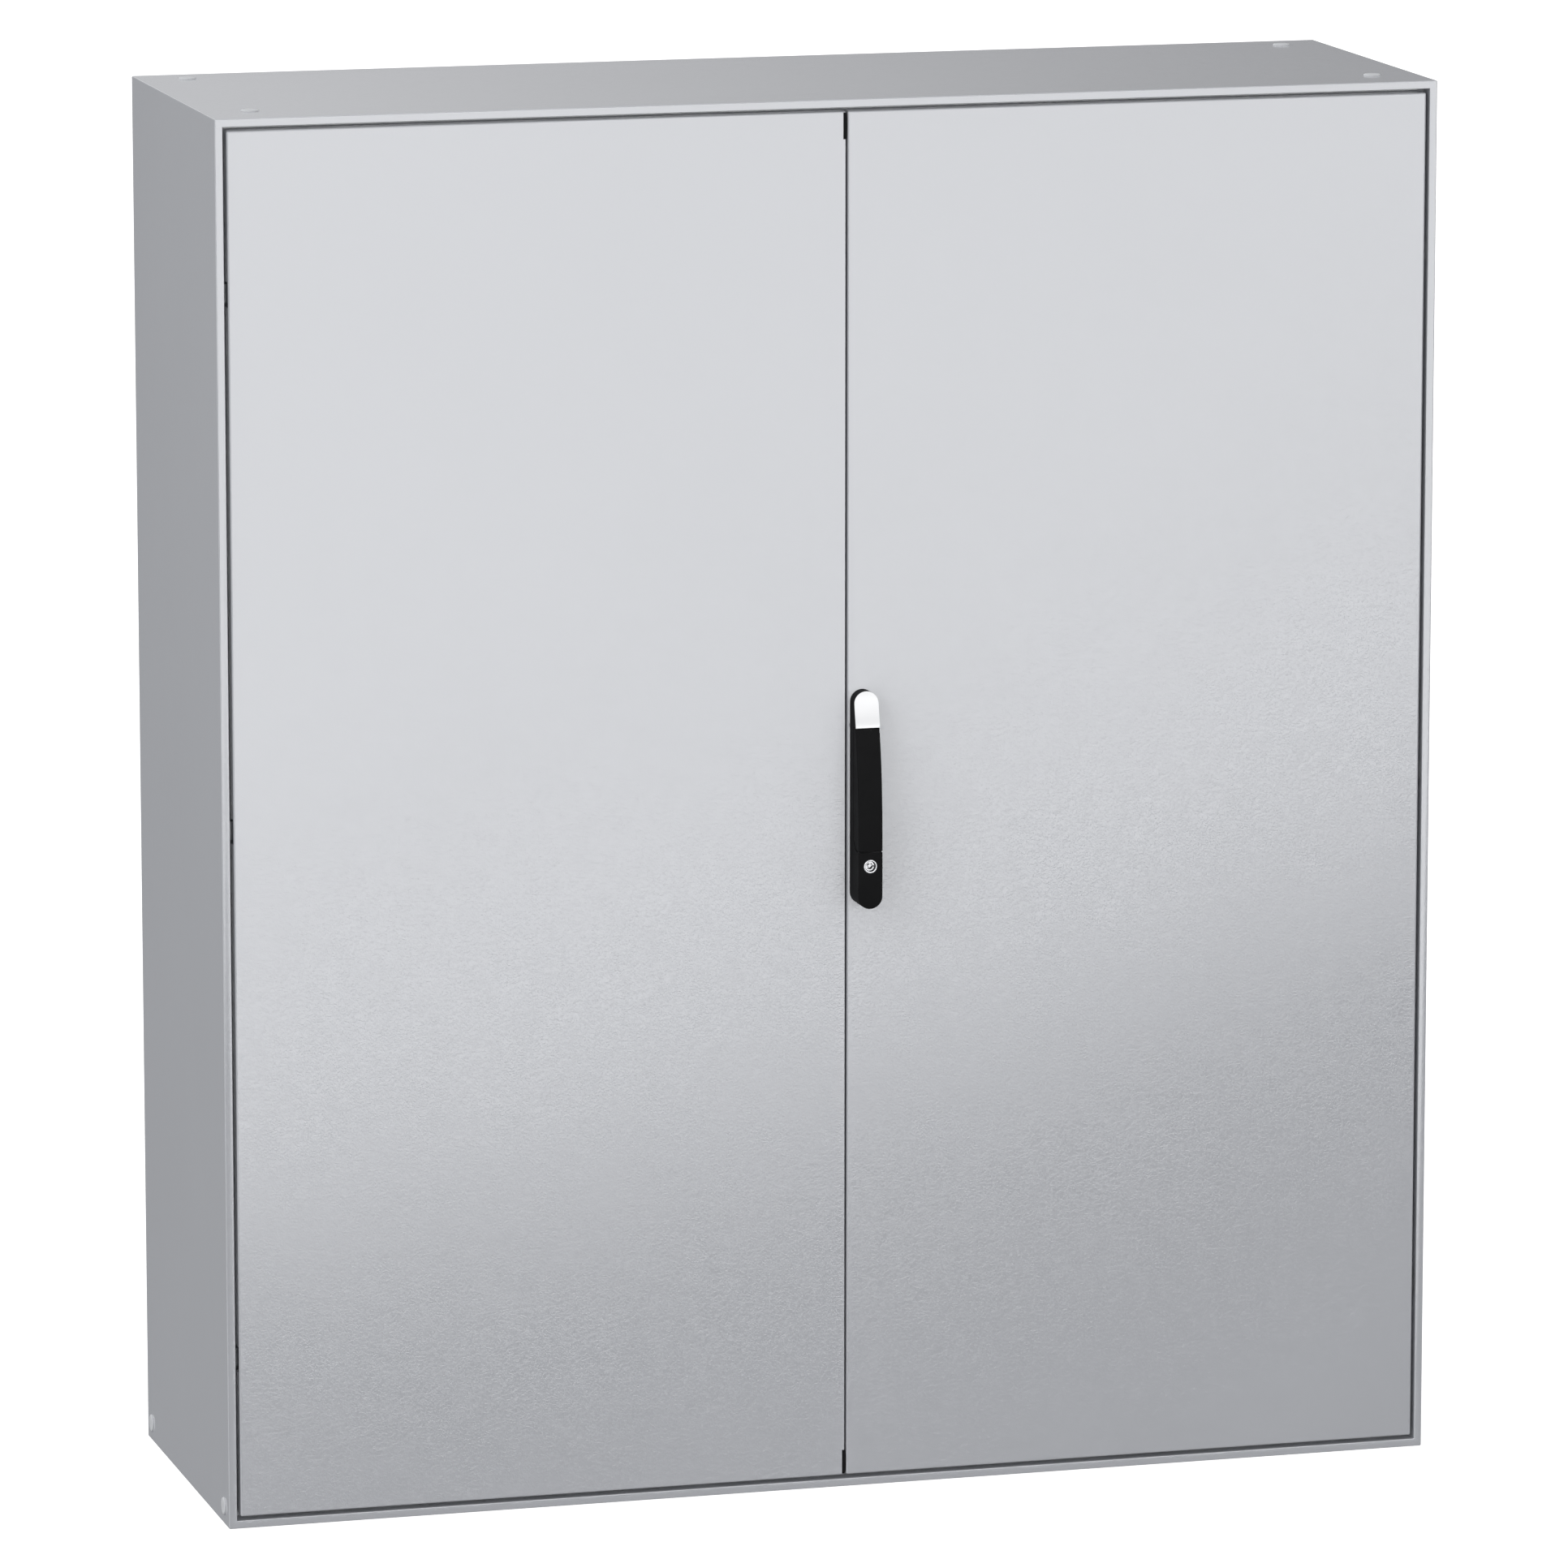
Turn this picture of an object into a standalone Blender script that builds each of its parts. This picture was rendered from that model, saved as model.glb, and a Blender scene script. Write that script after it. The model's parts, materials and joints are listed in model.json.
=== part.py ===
"""Two-door floor-standing switchboard cabinet, folded steel sheet, metres, +Z up.

The frame's origin is at the middle of the footprint, on the floor.  Depths are
written as d, measured backwards from the plane of the door fronts, so that
y = d - FRONT_TO_ORIGIN.
"""
import math

import bmesh
import bpy
from mathutils import Matrix, Vector

for obj in list(bpy.data.objects):
    bpy.data.objects.remove(obj, do_unlink=True)

# ------------------------------------------------------------------ dimensions
WIDTH = 1.600
HEIGHT = 1.800
BODY_DEPTH = 0.500            # body alone, without the rear panel
TOTAL_DEPTH = 0.504           # door front to the back of the rear panel
HANDLE_PROJECTION = 0.042     # lever front, ahead of the doors
FRONT_TO_ORIGIN = (TOTAL_DEPTH - HANDLE_PROJECTION) / 2
SHEET = 0.0015                # body sheet
DOOR_SHEET = 0.0020
GAP = 0.0003                  # between pieces that touch

RIM_X, RIM_Z = 0.7897, 0.0103         # front rim's inner edge
RETURN_D = 0.026                      # sealing flange behind the doors
LIP_X, LIP_Z = 0.7590, 0.0410         # sealing lip's outer faces
LIP_D = 0.0185
MEET_LIP = 0.005                      # inward lip along the meeting edges

DOOR_X = 0.785                        # outer edges of the doors
DOOR_Z0, DOOR_Z1 = 0.0155, 1.7847
DOOR_D = 0.018                        # door tray's depth
MEET_L, MEET_R = 0.0120, 0.0150       # the doors' meeting edges
NOTCH_X = 0.0092
NOTCHES = ((0.0165, 0.0485), (1.7495, 1.7835))

HINGE_X, HINGE_D = 0.777, 0.006       # concealed hinge axis
HINGE_ZS = (0.220, 0.900, 1.580)
KNUCKLE_R, PIN_R = 0.0037, 0.0025

HANDLE_X = 0.0345
HANDLE_W = 0.032
HANDLE_Z0, HANDLE_Z1 = 0.7670, 1.0455
SPINDLE_Z = 1.0295
BASE_P = 0.0175                       # height of the handle's base
LIFT_Z, LIFT_P = 0.9952, 0.0228       # lever's fold-out pin
LOCK_Z = 0.8223
PINION_MODULE, PINION_TEETH = 0.002, 10
PITCH_R = PINION_MODULE * PINION_TEETH / 2
GEAR_D0, GEAR_D1 = 0.0305, 0.0385

PLUG_R = 0.0112

# ------------------------------------------------------------------ scene set-up
parts = bpy.data.collections.new("switchboard_cabinet")
cutters = bpy.data.collections.new("cutters")
for c in (parts, cutters):
    bpy.context.scene.collection.children.link(c)


def material(name, rgb, rough, metal):
    m = bpy.data.materials.new(name)
    m.use_nodes = True
    b = m.node_tree.nodes["Principled BSDF"]
    b.inputs["Base Color"].default_value = (*rgb, 1)
    b.inputs["Roughness"].default_value = rough
    b.inputs["Metallic"].default_value = metal
    m.diffuse_color = (*rgb, 1)
    return m


PAINT = material("grey_powder_coat", (0.62, 0.64, 0.66), 0.38, 0.0)
ZINC = material("zinc_plate", (0.66, 0.67, 0.68), 0.35, 1.0)
STEEL = material("bright_steel", (0.72, 0.72, 0.72), 0.25, 1.0)
BLACK = material("black_plastic", (0.012, 0.012, 0.013), 0.45, 0.0)
WHITE = material("white_plastic", (0.86, 0.86, 0.86), 0.35, 0.0)
FOAM = material("seal_foam", (0.10, 0.10, 0.105), 0.8, 0.0)
DIECAST = material("diecast_zinc", (0.60, 0.61, 0.62), 0.3, 1.0)


def yd(d):
    return d - FRONT_TO_ORIGIN


def put(name, bm, mat, where=None, origin=(0.0, 0.0, 0.0)):
    """Make an object of a bmesh given in world positions, with its own origin."""
    bmesh.ops.translate(bm, verts=bm.verts, vec=-Vector(origin))
    me = bpy.data.meshes.new(name)
    bm.to_mesh(me)
    bm.free()
    ob = bpy.data.objects.new(name, me)
    (where or parts).objects.link(ob)
    ob.location = origin
    if where is cutters:
        ob.hide_render = True
        ob.display_type = 'WIRE'
    elif mat:
        me.materials.append(mat)
    return ob


def bm_box(x0, x1, d0, d1, z0, z1, bm=None):
    bm = bm or bmesh.new()
    m = (Matrix.Translation(((x0 + x1) / 2, yd((d0 + d1) / 2), (z0 + z1) / 2))
         @ Matrix.Diagonal((x1 - x0, d1 - d0, z1 - z0, 1)))
    bmesh.ops.create_cube(bm, size=1.0, matrix=m)
    return bm


def bm_cyl(centre, axis, r, length, seg=32, r2=None):
    """A cylinder whose middle is at centre, given as x, d, z."""
    bm = bmesh.new()
    rot = {'Z': Matrix.Identity(4), 'X': Matrix.Rotation(math.pi / 2, 4, 'Y'),
           'Y': Matrix.Rotation(-math.pi / 2, 4, 'X')}[axis]
    m = Matrix.Translation((centre[0], yd(centre[1]), centre[2])) @ rot
    bmesh.ops.create_cone(bm, cap_ends=True, segments=seg, radius1=r,
                          radius2=r if r2 is None else r2, depth=length, matrix=m)
    return bm


def bm_prism(points, axis, lo, hi):
    """A flat outline pushed straight along X, or along the depth, from lo to hi.
    Along X the outline is (d, z) pairs, along the depth (x, z), along Z (x, d)."""
    bm = bmesh.new()
    ends = []
    for t in (lo, hi):
        ring = []
        for u, v in points:
            if axis == 'X':
                co = (t, yd(u), v)
            elif axis == 'D':
                co = (u, yd(t), v)
            else:
                co = (u, yd(v), t)
            ring.append(bm.verts.new(co))
        ends.append(ring)
    n = len(points)
    bm.faces.new(ends[0])
    bm.faces.new(ends[1])
    for i in range(n):
        bm.faces.new((ends[0][i], ends[0][(i + 1) % n], ends[1][(i + 1) % n], ends[1][i]))
    bmesh.ops.recalc_face_normals(bm, faces=bm.faces)
    return bm


def boolean(ob, other, op='DIFFERENCE'):
    mod = ob.modifiers.new(op.lower(), 'BOOLEAN')
    mod.operation = op
    mod.solver = 'EXACT'
    mod.object = other
    return ob


def tool(bm, name="cut"):
    return put(name, bm, None, cutters)


def cut(ob, *bms):
    for bm in bms:
        boolean(ob, tool(bm))
    return ob


def join(ob, *bms):
    for bm in bms:
        boolean(ob, tool(bm, "add"), 'UNION')
    return ob


def soften(ob, width, segments=2, angle=40):
    mod = ob.modifiers.new("edges", 'BEVEL')
    mod.width = width
    mod.segments = segments
    mod.limit_method = 'ANGLE'
    mod.angle_limit = math.radians(angle)
    mod.use_clamp_overlap = True
    return ob


def smooth(ob, angle=35):
    ob.data.shade_smooth()
    ob.data.set_sharp_from_angle(angle=math.radians(angle))
    return ob


def sheet_solid(ob, thickness):
    mod = ob.modifiers.new("sheet", 'SOLIDIFY')
    mod.thickness = thickness
    mod.solidify_mode = 'NON_MANIFOLD'
    mod.nonmanifold_thickness_mode = 'CONSTRAINTS'
    mod.nonmanifold_merge_threshold = 0.00001
    mod.offset = -1.0
    return ob


def folded_rings(rings, cap_last=None):
    """Rectangular rings joined into one open folded surface.
    A ring is (x0, x1, z0, z1, d)."""
    bm = bmesh.new()
    rows = []
    for x0, x1, z0, z1, d in rings:
        rows.append([bm.verts.new((x, yd(d), z)) for x, z in
                     ((x0, z0), (x1, z0), (x1, z1), (x0, z1))])
    for a, b in zip(rows, rows[1:]):
        for i in range(4):
            j = (i + 1) % 4
            bm.faces.new((a[i], a[j], b[j], b[i]))
    return bm, rows


def round_edges(bm, picks, width, segments):
    edges = []
    for a, b in picks:
        e = bm.edges.get((a, b))
        if e:
            edges.append(e)
    bmesh.ops.bevel(bm, geom=edges, offset=width, offset_type='OFFSET',
                    segments=segments, profile=0.5, affect='EDGES', clamp_overlap=True)


# ------------------------------------------------------------------ body shell
def make_body():
    z1 = HEIGHT
    rings = [
        (-0.785, 0.785, 0.015, z1 - 0.015, BODY_DEPTH),
        (-WIDTH / 2, WIDTH / 2, 0.0, z1, BODY_DEPTH),
        (-WIDTH / 2, WIDTH / 2, 0.0, z1, 0.0),
        (-RIM_X, RIM_X, RIM_Z, z1 - RIM_Z, 0.0),
        (-RIM_X, RIM_X, RIM_Z, z1 - RIM_Z, RETURN_D),
        (-LIP_X, LIP_X, LIP_Z, z1 - LIP_Z, RETURN_D),
        (-LIP_X, LIP_X, LIP_Z, z1 - LIP_Z, LIP_D),
    ]
    bm, rows = folded_rings(rings)
    bmesh.ops.recalc_face_normals(bm, faces=bm.faces)
    # the roof's outside has to look up
    roof = max(bm.faces, key=lambda f: f.calc_center_median().z)
    if roof.normal.z < 0:
        bmesh.ops.reverse_faces(bm, faces=bm.faces)
    around = [(rows[k][i], rows[k][(i + 1) % 4]) for k in (1, 2) for i in range(4)]
    along = [(rows[1][i], rows[2][i]) for i in range(4)]
    inner = [(rows[k][i], rows[k][(i + 1) % 4]) for k in (3,) for i in range(4)]
    inner += [(rows[3][i], rows[4][i]) for i in range(4)]
    pick_co = [[(a.co.copy(), b.co.copy()) for a, b in group] for group in (around + along, inner)]
    round_edges(bm, around + along, 0.0015, 2)

    def find(co_a, co_b):
        best = None
        for e in bm.edges:
            p, q = e.verts[0].co, e.verts[1].co
            s = min((p - co_a).length + (q - co_b).length, (p - co_b).length + (q - co_a).length)
            if s < 1e-5:
                best = e
        return best
    edges = [e for e in (find(a, b) for a, b in pick_co[1]) if e]
    bmesh.ops.bevel(bm, geom=edges, offset=0.0008, offset_type='OFFSET', segments=2,
                    profile=0.5, affect='EDGES', clamp_overlap=True)
    ob = put("body_shell", bm, PAINT)
    sheet_solid(ob, SHEET)
    # cable entry in the floor, under the gland plates
    cut(ob, bm_box(-0.700, 0.700, 0.085, 0.425, -0.01, 0.012))
    for x, d in ROOF_PLUGS:
        cut(ob, bm_cyl((x, d, z1), 'Z', 0.0070, 0.02, 20))
    for s in (-1, 1):
        for d in SIDE_PLUG_DS:
            cut(ob, bm_cyl((s * WIDTH / 2, d, SIDE_PLUG_Z), 'X', 0.0070, 0.02, 20))
    return ob


ROOF_PLUGS = tuple((sx * 0.738, d) for sx in (-1, 1) for d in (0.078, 0.448))
SIDE_PLUG_DS = (0.030, 0.474)
SIDE_PLUG_Z = 0.0235
body = make_body()


# ------------------------------------------------------------------ plugs
def make_plug(name, head_centre, outward):
    """A push-in blanking plug: low domed head, stem through the sheet."""
    r, h = PLUG_R, 0.0020
    prof = [(0.0, h), (r * 0.55, h - 0.00012), (r * 0.86, h - 0.0006), (r * 0.975, h - 0.0013),
            (r, GAP), (0.0064, GAP), (0.0064, -0.0060), (0.0, -0.0060)]
    bm = bmesh.new()
    vs = [bm.verts.new((x, 0.0, z)) for x, z in prof]
    for a, b in zip(vs, vs[1:]):
        bm.edges.new((a, b))
    ob = put(name, bm, PAINT)
    mod = ob.modifiers.new("turn", 'SCREW')
    mod.steps = 24
    mod.render_steps = 24
    mod.use_merge_vertices = True
    mod.merge_threshold = 0.00002
    mod.use_smooth_shade = True
    ob.location = head_centre
    ob.rotation_euler = {'+Z': (0, 0, 0), '+X': (0, math.pi / 2, 0), '-X': (0, -math.pi / 2, 0)}[outward]
    return ob


for i, (x, d) in enumerate(ROOF_PLUGS):
    side = "left" if x < 0 else "right"
    end = "front" if d < 0.2 else "rear"
    make_plug("roof_plug_%s_%s" % (side, end), (x, yd(d), HEIGHT), '+Z')
for side, s in (("left", -1), ("right", 1)):
    for end, d in zip(("front", "rear"), SIDE_PLUG_DS):
        make_plug("side_plug_%s_%s" % (side, end), (s * WIDTH / 2, yd(d), SIDE_PLUG_Z),
                  '+X' if s > 0 else '-X')


# ------------------------------------------------------------------ rear panel, floor, plate
def ring_frame(name, mat, x0, x1, z0, z1, band, d0, d1, bands=None):
    """A flat strip of one width bent round a rectangle; bands may set each side."""
    bl, br, bb, bt = bands or (band,) * 4
    ob = put(name, bm_box(x0, x1, d0, d1, z0, z1), mat)
    cut(ob, bm_box(x0 + bl, x1 - br, d0 - 0.01, d1 + 0.01, z0 + bb, z1 - bt))
    return ob


rear = put("rear_panel", bm_box(-0.7985, 0.7985, BODY_DEPTH + GAP, TOTAL_DEPTH, 0.0015, HEIGHT - 0.0015), PAINT)
cut(rear, bm_box(-0.7965, 0.7965, BODY_DEPTH - 0.01, TOTAL_DEPTH - 0.0015, 0.0035, HEIGHT - 0.0035))
soften(rear, 0.0005, 1)

plate = put("gland_plate", bm_box(-0.715, 0.715, 0.072, 0.438, SHEET + GAP, SHEET + GAP + 0.002), ZINC)
soften(plate, 0.0004, 1)


def make_mounting_plate():
    x, z0, z1, d0 = 0.750, 0.060, 1.740, 0.440
    rings = [(-x, x, z0, z1, d0 + 0.016), (-x, x, z0, z1, d0)]
    bm, rows = folded_rings(rings)
    bm.faces.new(rows[1])
    bmesh.ops.recalc_face_normals(bm, faces=bm.faces)
    front = min(bm.faces, key=lambda f: f.calc_center_median().y)
    if front.normal.y > 0:
        bmesh.ops.reverse_faces(bm, faces=bm.faces)
    round_edges(bm, [(rows[1][i], rows[1][(i + 1) % 4]) for i in range(4)], 0.002, 2)
    ob = put("mounting_plate", bm, ZINC)
    sheet_solid(ob, 0.0025)
    return ob


make_mounting_plate()
for side, s in (("left", -1), ("right", 1)):
    for level, z in (("bottom", 0.200), ("top", 1.600)):
        xo, xi = 0.7982, 0.700
        ob = put("plate_bracket_%s_%s" % (side, level),
                 bm_prism([(s * xo, 0.420), (s * xo, 0.480), (s * (xo - 0.0025), 0.480),
                           (s * (xo - 0.0025), 0.4595), (s * xi, 0.4595), (s * xi, 0.4565),
                           (s * (xo - 0.0025), 0.4565), (s * (xo - 0.0025), 0.420)],
                          'Z', z - 0.025, z + 0.025), ZINC)
        join(ob, bm_cyl((s * 0.722, 0.4513, z), 'Y', 0.008, 0.0170, 20))


# ------------------------------------------------------------------ hinges
def make_hinges(side, s):
    for level, zc in zip(("bottom", "middle", "top"), HINGE_ZS):
        ax = s * HINGE_X

        def X(inward):            # distance from the axis towards the door's middle
            return s * (HINGE_X - inward)
        # gooseneck arm fixed to the frame
        arm = [(X(-0.0122), 0.0175), (X(-0.0122), 0.0215), (X(0.0054), 0.0215), (X(0.0054), 0.0060),
               (X(0.0014), 0.0060), (X(0.0014), 0.0175)]
        ob = put("hinge_bracket_%s_%s" % (side, level),
                 bm_prism(arm, 'Z', zc - 0.012, zc + 0.012), ZINC, origin=(ax, yd(HINGE_D), zc))
        join(ob, bm_cyl((ax, HINGE_D, zc), 'Z', KNUCKLE_R, 0.024, 16))
        cut(ob, bm_cyl((ax, HINGE_D, zc), 'Z', PIN_R + GAP, 0.030, 16))
        # leaf on the door's skin, with a knuckle above and below the arm's
        xa, xb = sorted((X(0.0), X(0.0115)))
        leaf = put("hinge_leaf_%s_%s" % (side, level),
                   bm_box(xa, xb, 0.0023, 0.0048, zc - 0.0240, zc + 0.0240), ZINC,
                   origin=(ax, yd(HINGE_D), zc))
        join(leaf, bm_cyl((ax, HINGE_D, zc + 0.0184), 'Z', KNUCKLE_R, 0.0116, 16),
             bm_cyl((ax, HINGE_D, zc - 0.0184), 'Z', KNUCKLE_R, 0.0116, 16))
        xc, xd = sorted((X(-0.01), X(0.0070)))
        cut(leaf, bm_box(xc, xd, 0.000, 0.012, zc - 0.0124, zc + 0.0124),
            bm_cyl((ax, HINGE_D, zc), 'Z', PIN_R + GAP, 0.080, 16))
        pin = put("hinge_pin_%s_%s" % (side, level),
                  bm_cyl((ax, HINGE_D, zc), 'Z', PIN_R, 0.050, 16), STEEL,
                  origin=(ax, yd(HINGE_D), zc))
        join(pin, bm_cyl((ax, HINGE_D, zc + 0.0256), 'Z', 0.0034, 0.0024, 16))


make_hinges("left", -1)
make_hinges("right", 1)


# ------------------------------------------------------------------ doors
def make_door(name, x0, x1, s):
    """A tray of folded sheet: skin, four returns and a narrow lip all round."""
    lip = 0.008
    rings = [
        (x0 + (MEET_LIP if s > 0 else lip), x1 - (lip if s > 0 else MEET_LIP),
         DOOR_Z0 + lip, DOOR_Z1 - lip, DOOR_D),
        (x0, x1, DOOR_Z0, DOOR_Z1, DOOR_D),
        (x0, x1, DOOR_Z0, DOOR_Z1, 0.0),
    ]
    bm, rows = folded_rings(rings)
    bm.faces.new(rows[2])
    bmesh.ops.recalc_face_normals(bm, faces=bm.faces)
    front = min(bm.faces, key=lambda f: f.calc_center_median().y)
    if front.normal.y > 0:
        bmesh.ops.reverse_faces(bm, faces=bm.faces)
    # corner order: (x0,z0) (x1,z0) (x1,z1) (x0,z1)
    crisp = 1 if name.startswith("left") else None
    front_edges = [(rows[2][i], rows[2][(i + 1) % 4]) for i in range(4) if i != crisp]
    ups = [(rows[1][i], rows[2][i]) for i in range(4) if not (crisp and i in (1, 2))]
    round_edges(bm, front_edges + ups, 0.0022, 3)
    ob = put(name, bm, PAINT, origin=(s * HINGE_X, yd(HINGE_D), 0.0))
    sheet_solid(ob, DOOR_SHEET)
    xa, xb = sorted((s * (DOOR_X + 0.002), s * (DOOR_X - 0.0125)))
    for zc in HINGE_ZS:
        cut(ob, bm_box(xa, xb, 0.0026, DOOR_D + 0.004, zc - 0.0160, zc + 0.0160))
    return ob


left = make_door("left_door_panel", -DOOR_X, MEET_L, -1)
right = make_door("right_door_panel", MEET_R, DOOR_X, 1)
for z0, z1 in NOTCHES:
    cut(left, bm_box(NOTCH_X, 0.020, -0.002, 0.0150, z0, z1))
cut(right, bm_cyl((HANDLE_X, 0.0, SPINDLE_Z), 'Y', 0.0085, 0.012, 24),
    bm_cyl((HANDLE_X, 0.0, LOCK_Z), 'Y', 0.0100, 0.012, 24))

SEAL_OUT = 0.7640
ring_frame("left_door_gasket", FOAM, -SEAL_OUT, MEET_L - MEET_LIP - GAP, 0.0360, HEIGHT - 0.0360, 0,
           0.0023, LIP_D - GAP, bands=(0.0115, 0.0060, 0.0115, 0.0115))
ring_frame("right_door_gasket", FOAM, MEET_R + MEET_LIP + GAP, SEAL_OUT, 0.0360, HEIGHT - 0.0360, 0,
           0.0023, LIP_D - GAP, bands=(0.0050, 0.0115, 0.0115, 0.0115))
seal = put("meeting_seal", bm_box(MEET_L + GAP, 0.0144, 0.0120, 0.0177, 0.055, 1.742), FOAM)
soften(seal, 0.0006, 1)


# ------------------------------------------------------------------ flush bolts, left door
def bolt_parts(end, up):
    zn0, zn1 = NOTCHES[1 if up > 0 else 0]
    e = 1 if up > 0 else -1
    zt = (HEIGHT - LIP_Z - 0.0030) if up > 0 else (LIP_Z + 0.0030)
    a, b = sorted((zt - e * 0.0170, zt - e * 0.1150))
    house = put("flush_bolt_housing_%s" % end, bm_box(-0.0320, 0.0000, 0.0190, 0.0400, a, b), BLACK)
    join(house, bm_box(-0.0320, -0.0010, 0.0023, 0.0200, a + 0.010, b - 0.010))
    cut(house, bm_box(-0.0243, -0.0077, 0.0297, 0.0363, a - 0.01, b + 0.01),
        bm_box(-0.0203, -0.0117, 0.0350, 0.0500, a + 0.022, b - 0.022))
    soften(house, 0.0008, 1)
    la, lb = sorted((zt, zt - e * 0.1120))
    bolt = put("flush_bolt_%s" % end, bm_box(-0.0240, -0.0080, 0.0300, 0.0360, la, lb), ZINC)
    ka, kb = sorted((zt - e * 0.0620, zt - e * 0.0780))
    join(bolt, bm_box(-0.0200, -0.0120, 0.0350, 0.0470, ka, kb))
    # cover that fills the notch in the meeting edge
    nose = put("notch_plug_%s" % end,
               bm_box(NOTCH_X + GAP, 0.0119, 0.0010, 0.0147, zn0 + GAP, zn1 - GAP), BLACK)
    soften(nose, 0.0004, 1)
    return house, bolt


bolt_parts("top", 1)
bolt_parts("bottom", -1)


# ------------------------------------------------------------------ handle
def stadium(x, z0, z1, r, n=12):
    pts = []
    for k in range(n + 1):
        a = math.pi * k / n
        pts.append((x + r * math.cos(a), z1 - r + r * math.sin(a)))
    for k in range(n + 1):
        a = math.pi + math.pi * k / n
        pts.append((x + r * math.cos(a), z0 + r + r * math.sin(a)))
    return pts


HX = HANDLE_X
HR = HANDLE_W / 2
plan = stadium(HX, HANDLE_Z0, HANDLE_Z1, HR)


def side_cut(ob, profile):
    """Keep only what lies inside a side profile of (p, z), p ahead of the doors."""
    pts = [(-p, z) for p, z in profile]
    return boolean(ob, tool(bm_prism(pts, 'X', HX - 0.05, HX + 0.05), "keep"), 'INTERSECT')


def arc(cx, cz, r, a0, a1, n):
    """Points on an arc in the side profile, angles in degrees from +p towards +z."""
    return [(cx + r * math.cos(math.radians(a0 + (a1 - a0) * k / n)),
             cz + r * math.sin(math.radians(a0 + (a1 - a0) * k / n))) for k in range(n + 1)]


# fixed base, with the lock housing standing proud at its lower end
ramp = [(BASE_P, 0.8530), (0.0215, 0.8472), (0.0260, 0.8432), (0.0310, 0.8412), (0.0360, 0.8402)]
base = put("handle_base", bm_prism(plan, 'D', -0.0460, -GAP), BLACK)
side_cut(base, [(0.0, 0.760), (0.0376, 0.760), (0.0404, 0.7720), (0.0411, 0.8000)]
         + [(0.0410, 0.8402)] + ramp[::-1] + [(BASE_P, 1.060), (0.0, 1.060)])
soften(base, 0.0016, 2, 50)
cut(base, bm_cyl((HX, -0.010, SPINDLE_Z), 'Y', 0.0065, 0.030, 24),
    bm_cyl((HX, -0.025, LOCK_Z), 'Y', 0.00905, 0.060, 28))

# lock: fixed barrel and turning double-bit core
barrel = put("lock_barrel", bm_cyl((HX, -0.0169, LOCK_Z), 'Y', 0.00875, 0.0458, 28), DIECAST)
cut(barrel, bm_cyl((HX, -0.030, LOCK_Z), 'Y', 0.00650, 0.044, 28))
soften(barrel, 0.0005, 1, 50)
core = put("lock_core", bm_cyl((HX, -0.0235, LOCK_Z), 'Y', 0.0062, 0.0260, 28), DIECAST,
           origin=(HX, yd(-0.0235), LOCK_Z))
recess = put("core_recess", bm_cyl((HX, -0.0365, LOCK_Z), 'Y', 0.0036, 0.0140, 24), None, cutters)
join(recess, bm_box(HX - 0.0054, HX + 0.0054, -0.0435, -0.0295, LOCK_Z - 0.0013, LOCK_Z + 0.0013))
cut(recess, bm_cyl((HX, -0.0365, LOCK_Z), 'Y', 0.0016, 0.030, 16))
boolean(core, recess)

# rotor: black head on the base, spindle through the door, lug at the lever's pin
HEAD_FRONT = [(0.0284, 0.9992), (0.0280, 1.0030), (0.0250, 1.0150), (0.0222, 1.0280), (0.0206, 1.0390),
              (0.0200, 1.0600)]                  # front of the finished head, cap included
CAP_T = 0.0010
gap_r = 0.0053
socket = arc(LIFT_P, LIFT_Z, gap_r, 155, 42, 6)  # hollow that the lever's round end turns in
rotor = put("handle_rotor", bm_prism(plan, 'D', -0.0460, -0.0050), BLACK,
            origin=(HX, yd(0.0), SPINDLE_Z))
head_top = [(p - CAP_T - GAP, z) for p, z in HEAD_FRONT]
side_cut(rotor, [(0.0179, 1.0600), (0.0179, 0.9990)] + socket[1:-1] + [(0.0266, 0.9992)] + head_top[1:])
join(rotor, bm_cyl((HX, 0.0115, SPINDLE_Z), 'Y', 0.0060, 0.0600, 24))
lug = [(0.0179, 1.0080), (0.0179, 0.9940)] + arc(LIFT_P, LIFT_Z, 0.0042, 200, 360, 8) + [(0.0255, 1.0010), (0.0240, 1.0080)]
join(rotor, bm_prism([(-p, z) for p, z in lug], 'X', HX - 0.0042, HX + 0.0042))
cut(rotor, bm_cyl((HX, -LIFT_P, LIFT_Z), 'X', 0.0018, 0.020, 16))

# white cover plate on the head's front
cap = put("handle_cap", bm_prism(plan, 'D', -0.0460, -0.0050), WHITE,
          origin=(HX, yd(-0.018), SPINDLE_Z))
cap_back = [(p - CAP_T, z) for p, z in HEAD_FRONT]
side_cut(cap, [(0.0274, 0.9994)] + [(0.0284, 0.9994)] + HEAD_FRONT[1:] + cap_back[:0:-1])

# black lever: a hollow-backed grip hinged at its upper end
lever_low = [(0.0180, 0.8545), (0.0219, 0.8486), (0.0263, 0.8446), (0.0312, 0.8425), (0.0361, 0.8414),
             (0.0419, 0.8413)]
lever_top = arc(LIFT_P, LIFT_Z, 0.0048, 10, 180, 10)
lever = put("handle_lever", bm_prism(plan, 'D', -0.0460, -0.0050), BLACK,
            origin=(HX, yd(-LIFT_P), LIFT_Z))
side_cut(lever, lever_low + [(0.0420, 0.8600), (0.0412, 0.8850), (0.0396, 0.9150), (0.0372, 0.9420),
                             (0.0335, 0.9680), (0.0298, 0.9860)] + lever_top + [(0.0180, 0.9900)])
soften(lever, 0.0016, 2, 50)
cut(lever, bm_box(HX - 0.0046, HX + 0.0046, -0.0500, -0.0100, 0.9904 - 0.0005, 1.0200),
    bm_cyl((HX, -LIFT_P, LIFT_Z), 'X', 0.0018, 0.0260, 16))
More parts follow.
